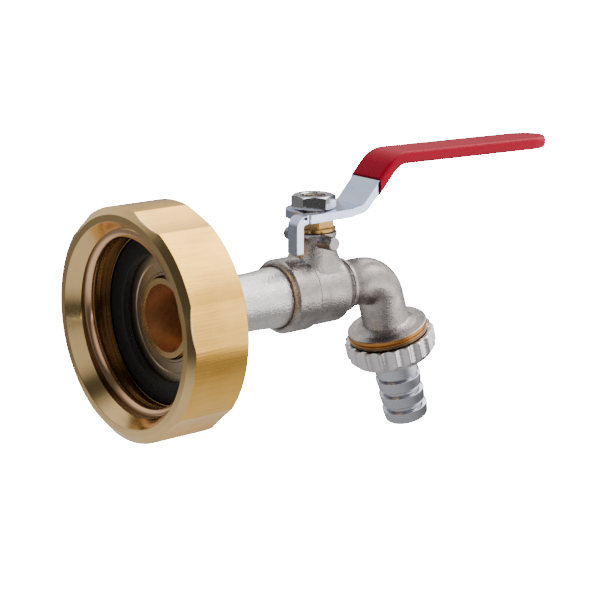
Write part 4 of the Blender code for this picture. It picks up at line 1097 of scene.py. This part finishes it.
class CastBody(SubAssembly):
    """Cast valve body with its neck, stop lugs, spout and outlet flange."""

    title = "valve body"
    sizes = CastSizes()
    RIM_STEPS = 96
    TURN_STEPS = 160
    HOLLOW_STEPS = 96
    LUG_STEPS = 48
    BLEND_STEPS = 12
    BEND_STEPS = 28
    MARGIN = 0.1 * MM
    CUT_MERGE = MM / 500

    def build(self) -> None:
        """Join the cast forms, cut the hollows and leave the flange's edge in plain brass, with a band of painted
        shade below it.
        """
        s = self.sizes
        body = self._barrel()
        spout = self._spout(s.spout_radius, "spout_form", s.spout_end)
        for form in (self._neck(), self._lugs(), spout, self._flange()):
            self.shop.combine(body, form, "UNION")
        self._hollow(body)
        to_outlet = OUTLET.matrix().inverted()

        def finish_of(face: bpy.types.MeshPolygon) -> int:
            """Bare brass on the flange's edge, a band of painted shade below it next to the union nut, and plate
            elsewhere.

            Args:
                face: A face of the piece.

            Returns:
                Number of its finish.
            """
            local = to_outlet @ face.center
            if s.bare_start < local.z < s.male_end and math.hypot(local.x, local.y) > s.bare_radius:
                return 2 if local.z > s.shade_band_edge else 1
            return 0

        self.shop.paint(body, ["cast_nickel", "outlet_brass", "painted_shade_brass"], finish_of)
        self.carry(body, Carrier.VALVE, "valve_body")

    def _barrel(self) -> Object:
        """Barrel with its collar, its step and the bead at the spout.

        Returns:
            The form.
        """
        s = self.sizes
        line = [(s.mouth, s.rim_radius), (s.collar_start, s.collar_radius), (s.collar_end, s.collar_radius),
                (s.collar_end + s.step, s.barrel_radius - s.step_depth),
                (s.collar_end + 3 * s.step, s.barrel_radius)]
        drop = s.barrel_radius - s.shoulder_radius
        line += [(s.shoulder_start + (s.shoulder_end - s.shoulder_start) * share,
                  s.shoulder_radius + drop * (1 + math.cos(math.pi * share)) / 2)
                 for share in shares(self.BLEND_STEPS)]
        line += [(s.shoulder_end, s.bead_radius), (s.bead_end, s.bead_radius),
                 (s.bead_end + 2 * s.overlap, s.spout_radius - s.overlap)]
        return self.shop.turned("valve_body_cast", line, PIPE, "cast_nickel", closed=False, corner=s.barrel_corner,
                                steps=self.TURN_STEPS)

    def _neck(self) -> Object:
        """Round neck that spreads into an oval foot along the pipe, with a thin ring at its top.

        Returns:
            The form.
        """
        s = self.sizes
        ring_foot = s.neck_top - s.neck_ring_height
        levels = [0.0, s.neck_foot / 2] + [s.neck_foot + s.neck_foot_rise * t for t in shares(self.BLEND_STEPS)]
        levels += [ring_foot - 2 * self.MARGIN, ring_foot, s.neck_top - s.neck_edge, s.neck_top]
        rims: list[list[Place]] = []
        for z in levels:
            rise = min(max((z - s.neck_foot) / s.neck_foot_rise, 0.0), 1.0)
            spread = (1 - rise) ** 2
            base = s.neck_radius
            base += s.neck_ring if z > ring_foot - self.MARGIN else 0.0
            base -= s.neck_edge if z > s.neck_top - self.MARGIN else 0.0
            along = base + s.neck_foot_along * spread
            across = base + s.neck_foot_across * spread
            rims.append([(STEM_X + along * math.cos(turn), across * math.sin(turn), z)
                         for turn in around(self.RIM_STEPS)])
        return self.shop.skinned("neck_form", rims, "cast_nickel")

    def _lugs(self) -> Object:
        """Bar whose two ends are the stop lugs.

        Returns:
            The form.
        """
        s = self.sizes
        return self.shop.turned("lug_form", [
            (-s.near_lug, 0.0), (-s.near_lug, s.lug_radius), (s.far_lug, s.lug_radius), (s.far_lug, 0.0)],
            NEAR_LUG, "cast_nickel", closed=False, steps=self.LUG_STEPS, corner=s.lug_corner)

    def _spout(self, radius: float, name: str, end: float) -> Object:
        """Tube along the spout's centre line.

        Args:
            radius: Radius of the tube.
            name: Name of the form.
            end: How far it runs past the outlet's centre.

        Returns:
            The form.
        """
        bend = self.sizes.spout_bend
        sweep = math.pi / 2 - SPOUT_TILT
        start = SPOUT_CORNER - bend * math.tan(sweep / 2)
        stations = [(Vector((self.sizes.spout_start, 0.0, 0.0)), 0.0)]
        for angle in (sweep * share for share in shares(self.BEND_STEPS)):
            stations.append((Vector((start + bend * math.sin(angle), 0.0, -bend * (1 - math.cos(angle)))), angle))
        stations.append((Vector(OUTLET_CENTRE) + Vector(DOWN) * end, sweep))
        rims: list[list[Place]] = []
        for centre, angle in stations:
            up = Vector((math.sin(angle), 0.0, math.cos(angle))) * radius
            side = Vector((0.0, radius, 0.0))
            rims.append([tuple(centre + up * math.cos(turn) + side * math.sin(turn))
                         for turn in around(self.RIM_STEPS)])
        return self.shop.skinned(name, rims, "cast_nickel")

    def _flange(self) -> Object:
        """Outlet flange with its fillet, its grooved edge and the male end.

        Returns:
            The form.
        """
        s = self.sizes
        flare = [(-s.fillet * (1 - share), s.spout_radius - s.overlap + s.fillet_rise * share ** s.fillet_power)
                 for share in shares(6)]
        groove_start, groove_floor, groove_end = s.groove
        # Radius of the band that is darkened as painted shade.
        shade_band_radius = s.flange_radius - s.shade_band_drop
        return self.shop.turned("outlet_form", [(-s.fillet, 0.0)] + flare + [
            (0.0, s.flange_radius - s.flange_edge), (s.flange_edge, s.flange_radius),
            (groove_start, s.flange_radius), (groove_floor, s.flange_groove), (groove_end, s.flange_radius),
            (s.shade_band_edge, s.flange_radius), (s.shade_band_edge + self.MARGIN, shade_band_radius), (s.flange_back, shade_band_radius),
            (s.flange_back, s.male_radius), (s.male_end - s.male_chamfer, s.male_radius),
            (s.male_end, s.male_radius - s.male_chamfer), (s.male_end, 0.0)], OUTLET, "cast_nickel",
            closed=False, steps=self.TURN_STEPS)

    def _hollow(self, body: Object) -> None:
        """Cut the bore for the tail, the ball's chamber, the stem bore and the waterway.

        Args:
            body: The body's piece.
        """
        s = self.sizes
        chamber, stem, outlet = [
            self.shop.turned(name, [(line[0][0], 0.0), *line, (line[-1][0], 0.0)], axis, "turned_nickel",
                             closed=False, steps=self.HOLLOW_STEPS, corner=0.0)
            for name, axis, line in (("chamber_form", PIPE, s.chamber), ("stem_bore_form", STEM, s.stem_bore),
                                     ("outlet_bore_form", OUTLET, s.outlet_bore))]
        for form in (stem, self._spout(s.waterway, "waterway_form", MM), outlet):
            self.shop.combine(chamber, form, "UNION")
        self.shop.combine(body, chamber, "DIFFERENCE")
        self.shop.tidy(body.data, self.CUT_MERGE)


@dataclass(frozen=True)
class StemSizes:
    """Sizes of the lever nut and of the rounded edges round the stem, in metres."""

    nut_low: float = 28.3 * MM
    nut_high: float = 32.7 * MM
    nut_corner: float = 7.506 * MM
    nut_widest: float = 7.606 * MM
    nut_turn: float = math.radians(23.0)
    nut_face_low: float = 6.6 * MM
    nut_face_high: float = 6.5 * MM
    nut_chamfer_low: float = 0.45 * MM
    nut_chamfer_high: float = 0.55 * MM
    hole: float = 4.2 * MM
    hole_mouth: float = 4.6 * MM
    hole_chamfer: Point = (32.4 * MM, 32.8 * MM)
    fold_mark: tuple[Point, ...] = ((65.5 * MM, 27.6 * MM), (67.1 * MM, 27.6 * MM), (66.3 * MM, 26.2 * MM))
    fold_mark_reach: Point = (-9.8 * MM, -8.5 * MM)
    gland_edge: float = 0.18 * MM
    lever_edge: float = 0.45 * MM
    grip_edge: float = 0.2 * MM
    stem_edge: float = 0.15 * MM
    nut_edge: float = 0.12 * MM
    nut_edge_steps: int = 2
    nut_edge_angle: float = 18.0
    lever_edge_angle: float = 40.0
    grip_edge_angle: float = 50.0


class StemGroup(SubAssembly):
    """Gland nut, lever, grip and lever nut round the stem."""

    title = "stem and lever"
    sizes = StemSizes()

    def build(self) -> None:
        """Round the edges of the lever, its grip and the nuts."""
        s = self.sizes
        # The gland nut's darker brass is painted shade from the lever above it.
        gland = self.shop.softened("gland_nut", "gland_nut_turned", "gland_brass_in_shade", s.gland_edge)
        self.carry(gland, Carrier.VALVE, "gland_nut")
        lever = self.shop.softened("lever", "lever_pressed", "bright_zinc", s.lever_edge, s.lever_edge_angle)
        # The fold mark's faces take the near-black notch colour, painted shade inside the notch.
        rims = [[(x, y, z) for x, z in s.fold_mark] for y in s.fold_mark_reach]
        self.shop.combine(lever, self.shop.skinned("fold_mark_form", rims, "notch_shade"), "DIFFERENCE")
        self.carry(lever, Carrier.HANDLE, "lever")
        grip = self.shop.softened("lever_grip", "lever_grip_dipped", "dipped_vinyl", s.grip_edge,
                                  s.grip_edge_angle)
        self.carry(grip, Carrier.HANDLE, "lever_grip")
        self.carry(self._lever_nut(), Carrier.HANDLE, "lever_nut")
        stem = self.shop.softened("stem", "stem_turned", "stem_brass", s.stem_edge)
        self.carry(stem, Carrier.HANDLE, "stem")

    def _lever_nut(self) -> Object:
        """Hexagon nut with a turned chamfer at both ends.

        Returns:
            The piece.
        """
        s = self.sizes
        low, high = s.nut_low, s.nut_high
        rims = [[(STEM_X + s.nut_corner * math.cos(turn), s.nut_corner * math.sin(turn), z)
                 for turn in around(6, s.nut_turn)] for z in (low, high)]
        nut = self.shop.skinned("lever_nut_faced", rims, "nut_zinc")
        chamfered = [(low, 0.0), (low, s.nut_face_low), (low + s.nut_chamfer_low, s.nut_widest),
                     (high - s.nut_chamfer_high, s.nut_widest), (high, s.nut_face_high), (high, 0.0)]
        hole = [(low - MM, 0.0), (low - MM, s.hole), (s.hole_chamfer[0], s.hole),
                (s.hole_chamfer[1], s.hole_mouth), (high + MM, s.hole_mouth), (high + MM, 0.0)]
        for name, line, steps, operation in (("lever_nut_turned", chamfered, 96, "INTERSECT"),
                                             ("lever_nut_hole", hole, 64, "DIFFERENCE")):
            form = self.shop.turned(name, line, STEM, "nut_zinc", closed=False, steps=steps, corner=0.0)
            self.shop.combine(nut, form, operation)
        return self.shop.edged(nut, s.nut_edge, s.nut_edge_steps, s.nut_edge_angle)


@dataclass(frozen=True)
class HoseEndSizes:
    """Sizes of the union nut and the hose tail, in metres along the outlet and from its axis."""

    union_top: float = 3.7 * MM
    union_radius: float = 16.0 * MM
    union_chamfer: float = 0.3 * MM
    union_corner: float = 0.15 * MM
    cone_start: float = 9.5 * MM
    cone_end: float = 11.8 * MM
    cone_drop: float = 1.9 * MM
    union_end: float = 14.2 * MM
    union_end_radius: float = 9.4 * MM
    union_hole: float = 8.7 * MM
    union_seat: float = 12.7 * MM
    union_seat_radius: float = 11.5 * MM
    thread_end: float = 8.9 * MM
    thread_radius: float = 13.3 * MM
    flutes: int = 20
    flute_first: float = math.radians(99.0)
    flute_half: float = math.radians(7.8)
    flute_depth: float = 1.25 * MM
    collar: Point = (10.7 * MM, 12.4 * MM)
    collar_radius: float = 11.2 * MM
    tail_radius: float = 7.7 * MM
    core_start: float = 18.9 * MM
    core_radius: float = 6.5 * MM
    core_step: float = 0.3 * MM
    last_barb: float = 34.9 * MM
    tail_end: float = 36.7 * MM
    tail_lip: tuple[Point, ...] = ((35.6 * MM, 7.7 * MM), (36.3 * MM, 7.4 * MM), (36.7 * MM, 6.6 * MM))
    bore: float = 5.2 * MM
    barbs: int = 3
    barb_start: float = 19.5 * MM
    barb_spacing: float = 6.1 * MM
    barb: tuple[Point, ...] = ((0.0, 6.4 * MM), (0.55 * MM, 8.1 * MM), (1.0 * MM, 8.1 * MM), (4.4 * MM, 7.7 * MM),
                               (4.8 * MM, 7.4 * MM), (5.1 * MM, 6.4 * MM))


class HoseEnd(SubAssembly):
    """Fluted union nut with the barbed hose tail below it."""

    title = "hose end"
    sizes = HoseEndSizes()
    UNION_STEPS = 240

    def build(self) -> None:
        """Build the union nut, the tail and its barbs."""
        self._union()
        self._tail()
        self._barbs()

    def _union(self) -> None:
        """Turn the union nut and press in its flutes."""
        s = self.sizes
        top = [(s.union_top + s.union_chamfer * i, s.union_radius - s.union_chamfer * (2 - i)) for i in range(3)]
        cone = [(s.cone_start + (s.cone_end - s.cone_start) * share, s.union_radius - s.cone_drop * share)
                for share in shares(4)]
        nut = self.shop.turned("hose_union_nut_fluted", top + cone + [
            (s.union_end, s.union_end_radius), (s.union_end, s.union_hole), (s.union_seat, s.union_hole),
            (s.union_seat, s.union_seat_radius), (s.thread_end, s.union_seat_radius),
            (s.thread_end, s.thread_radius), (s.union_top, s.thread_radius)], None, "satin_nickel",
            steps=self.UNION_STEPS, corner=s.union_corner)
        self.shop.grow(nut, self.trees.flutes, {
            "Count": s.flutes, "First Angle": s.flute_first, "Half Angle": s.flute_half, "Depth": s.flute_depth,
            "Radius": s.union_radius}, "satin_nickel", OUTLET)
        self.carry(nut, Carrier.UNION, "hose_union_nut")

    def _tail(self) -> None:
        """Turn the tail's collar, its plain length and its end."""
        s = self.sizes
        collar_start, collar_end = s.collar
        tail = self.shop.turned("hose_tail_core", [
            (collar_start, s.collar_radius), (collar_end, s.collar_radius), (collar_end, s.tail_radius),
            (s.core_start, s.tail_radius), (s.core_start + s.core_step, s.core_radius),
            (s.last_barb, s.core_radius), (s.last_barb + s.core_step, s.tail_radius), *s.tail_lip,
            (s.tail_end, s.bore), (collar_start, s.bore)], OUTLET, "bright_chrome")
        self.carry(tail, Carrier.HOSE_END, "hose_tail")

    def _barbs(self) -> None:
        """Turn one barb and repeat it along the tail."""
        s = self.sizes
        barbs = self.shop.turned("hose_tail_barbs", s.barb, None, "bright_chrome")
        self.shop.grow(barbs, self.trees.row, {"Count": s.barbs, "Spacing": s.barb_spacing}, "bright_chrome",
                       OUTLET.moved(s.barb_start))
        self.carry(barbs, Carrier.HOSE_END)


class HiddenPieces(SubAssembly):
    """Frame nodes that stay as they are and get a finish."""

    title = "inner pieces"

    FINISHES = {
        "ball": "bright_chrome", "ball_seat_inlet": "sealing_plastic", "ball_seat_outlet": "sealing_plastic",
        "stem_thrust_washer": "sealing_plastic", "stem_o_ring": "black_rubber", "stem_packing": "sealing_plastic",
        "hose_washer": "black_rubber",
    }

    def build(self) -> None:
        """Dress each node that no piece replaces."""
        for node, finish in self.FINISHES.items():
            self.shop.dress(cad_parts[node].data, finish)
            LOG.info("%s: %s", self.title, node)


@dataclass(frozen=True)
class Lobe:
    """Brightness that rises softly towards one direction, between two dot products with it."""

    direction: Place
    start: float
    end: float
    strength: float

    def build(self, sheet: NodeSheet, vector: Socket) -> Socket:
        """Add the lobe's nodes for a socket with a direction or a place."""
        product = sheet.compare("DOT_PRODUCT", vector, self.direction)
        return sheet.ramp(product, self.start, self.end, 0.0, self.strength)


@dataclass(frozen=True)
class Studio:
    """Pale floor, soft lights and the camera of the photograph."""

    floor_level: float = -60.0 * MM
    floor_reach: float = 6.0
    floor_grey: float = 0.04
    floor_roughness: float = 0.9
    floor_seen: float = 30.0
    floor_right: Lobe = Lobe((0.80, -0.60, 0.0), 0.13, 0.27, 2.5)
    floor_shadow: Lobe = Lobe((0.50, 0.87, 0.0), 0.06, 0.24, 0.8)
    floor_back: Lobe = Lobe((-0.2, 1.0, 0.0), -0.05, 0.25, 0.15)
    floor_near: Place = (0.07, 0.20, 0.66)
    floor_dark: float = 0.01
    sky: tuple[Lobe, ...] = (
        Lobe((0.798007, -0.548630, 0.249377), 0.35, 0.85, 1.8), Lobe((0.0, 0.80, 0.60), 0.50, 0.95, 0.80),
        Lobe((0.55, 0.05, 0.83), 0.72, 0.97, 3.4), Lobe((-0.40, -0.75, 0.52), 0.80, 0.98, 0.58))
    sky_dark: float = 0.08
    panels: tuple[tuple[str, Place, float, float], ...] = (
        ("key_panel", (0.45, -0.80, 0.80), 0.35, 2.2), ("top_panel", (0.05, 0.35, 0.95), 0.40, 1.2))
    aim: Place = (80.0 * MM, 0.0, 0.0)
    eye: Place = (-302.40 * MM, -458.40 * MM, 146.61 * MM)
    lift: float = 0.2 * MM
    azimuth: float = math.radians(39.205)
    elevation: float = math.radians(14.18)
    roll: float = math.radians(0.25)
    lens: float = 109.4
    sensor: float = 36.0
    clip: Point = (0.01, 50.0)

    def build(self) -> None:
        """Make the floor, the sky, the lights and the camera."""
        self._floor()
        self._sky()
        for panel in self.panels:
            self._light(*panel)
        self._camera()

    def _floor(self) -> None:
        """Wide pale floor, white to the camera and lit in patches for what the metal reflects."""
        reach, level = self.floor_reach, self.floor_level
        mesh = bpy.data.meshes.new("floor")
        mesh.from_pydata([(-reach, -reach, level), (reach, -reach, level), (reach, reach, level),
                          (-reach, reach, level)], [], [(0, 1, 2, 3)])
        floor = bpy.data.objects.new("floor", mesh)
        bpy.context.scene.collection.objects.link(floor)
        material = bpy.data.materials.new("pale_floor")
        material.use_nodes = True
        sheet = NodeSheet(material.node_tree)
        seen = sheet.add("ShaderNodeLightPath").outputs["Is Camera Ray"]
        place = sheet.add("ShaderNodeTexCoord").outputs["Object"]
        lit = sheet.math("SUBTRACT", 1.0, self.floor_shadow.build(sheet, place))
        right = sheet.math("MULTIPLY", self.floor_right.build(sheet, place), lit)
        start, end, strength = self.floor_near
        near = sheet.ramp(sheet.compare("DISTANCE", place, (0.0, 0.0, 0.0)), start, end, strength, 0.0)
        glow = sheet.total(self.floor_dark, right, self.floor_back.build(sheet, place), near,
                           sheet.math("MULTIPLY", seen, self.floor_seen))
        shader = material.node_tree.nodes["Principled BSDF"]
        grey = self.floor_grey
        for label, value in (("Base Color", (grey, grey, grey, 1.0)), ("Roughness", self.floor_roughness),
                             ("Specular IOR Level", 0.0), ("Emission Color", (1.0, 1.0, 1.0, 1.0)),
                             ("Emission Strength", glow)):
            sheet.join(value, shader.inputs[label])
        mesh.materials.append(material)

    def _sky(self) -> None:
        """Soft surroundings, bright to the right and above, paler behind and dark behind the camera."""
        world = bpy.data.worlds.new("studio")
        bpy.context.scene.world = world
        world.use_nodes = True
        sheet = NodeSheet(world.node_tree)
        direction = sheet.add("ShaderNodeTexCoord").outputs["Generated"]
        glow = sheet.total(self.sky_dark, *(lobe.build(sheet, direction) for lobe in self.sky))
        background = world.node_tree.nodes["Background"]
        sheet.join((1.0, 1.0, 1.0, 1.0), background.inputs["Color"])
        sheet.join(glow, background.inputs["Strength"])

    def _light(self, name: str, place: Place, size: float, power: float) -> None:
        """Square light panel that faces the valve.

        Args:
            name: The light's name.
            place: Where it stands.
            size: Side of the panel.
            power: Its power in watts.
        """
        light = bpy.data.lights.new(name, "AREA")
        light.shape = "SQUARE"
        light.size = size
        light.energy = power
        lamp = bpy.data.objects.new(name, light)
        bpy.context.scene.collection.objects.link(lamp)
        turn = (Vector(self.aim) - Vector(place)).to_track_quat("-Z", "Y").to_matrix().to_4x4()
        lamp.matrix_world = Matrix.Translation(place) @ turn

    def _camera(self) -> None:
        """Camera at the place worked out from the photograph."""
        view = Vector((math.sin(self.azimuth) * math.cos(self.elevation),
                       math.cos(self.azimuth) * math.cos(self.elevation), -math.sin(self.elevation)))
        right = view.cross(Vector((0.0, 0.0, 1.0))).normalized()
        up = right.cross(view)
        tilted_right = right * math.cos(self.roll) + up * math.sin(self.roll)
        tilted_up = up * math.cos(self.roll) - right * math.sin(self.roll)
        data = bpy.data.cameras.new("camera")
        data.lens = self.lens
        data.sensor_width = self.sensor
        data.clip_start, data.clip_end = self.clip
        camera = bpy.data.objects.new("camera", data)
        bpy.context.scene.collection.objects.link(camera)
        turn = Matrix((tilted_right, tilted_up, -view)).transposed().to_4x4()
        camera.matrix_world = Matrix.Translation(Vector(self.eye) + up * self.lift) @ turn
        bpy.context.scene.camera = camera


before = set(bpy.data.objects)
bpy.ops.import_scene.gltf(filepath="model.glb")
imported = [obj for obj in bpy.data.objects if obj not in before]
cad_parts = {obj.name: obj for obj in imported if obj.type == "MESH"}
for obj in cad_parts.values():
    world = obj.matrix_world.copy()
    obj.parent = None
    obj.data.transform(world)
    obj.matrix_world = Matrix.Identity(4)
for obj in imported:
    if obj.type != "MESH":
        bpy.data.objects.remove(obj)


def main() -> None:
    """Build the studio and every sub-assembly."""
    logging.basicConfig(level=logging.INFO, format="%(message)s")
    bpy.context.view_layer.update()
    Studio().build()
    shop = Workshop()
    trees = GrowthTrees()
    order: list[Callable[[Workshop, GrowthTrees], SubAssembly]] = [
        CouplingNut, TankSide, CastBody, StemGroup, HoseEnd, HiddenPieces]
    for make in order:
        group = make(shop, trees)
        group.build()
        group.report()


if __name__ == "__main__":
    main()
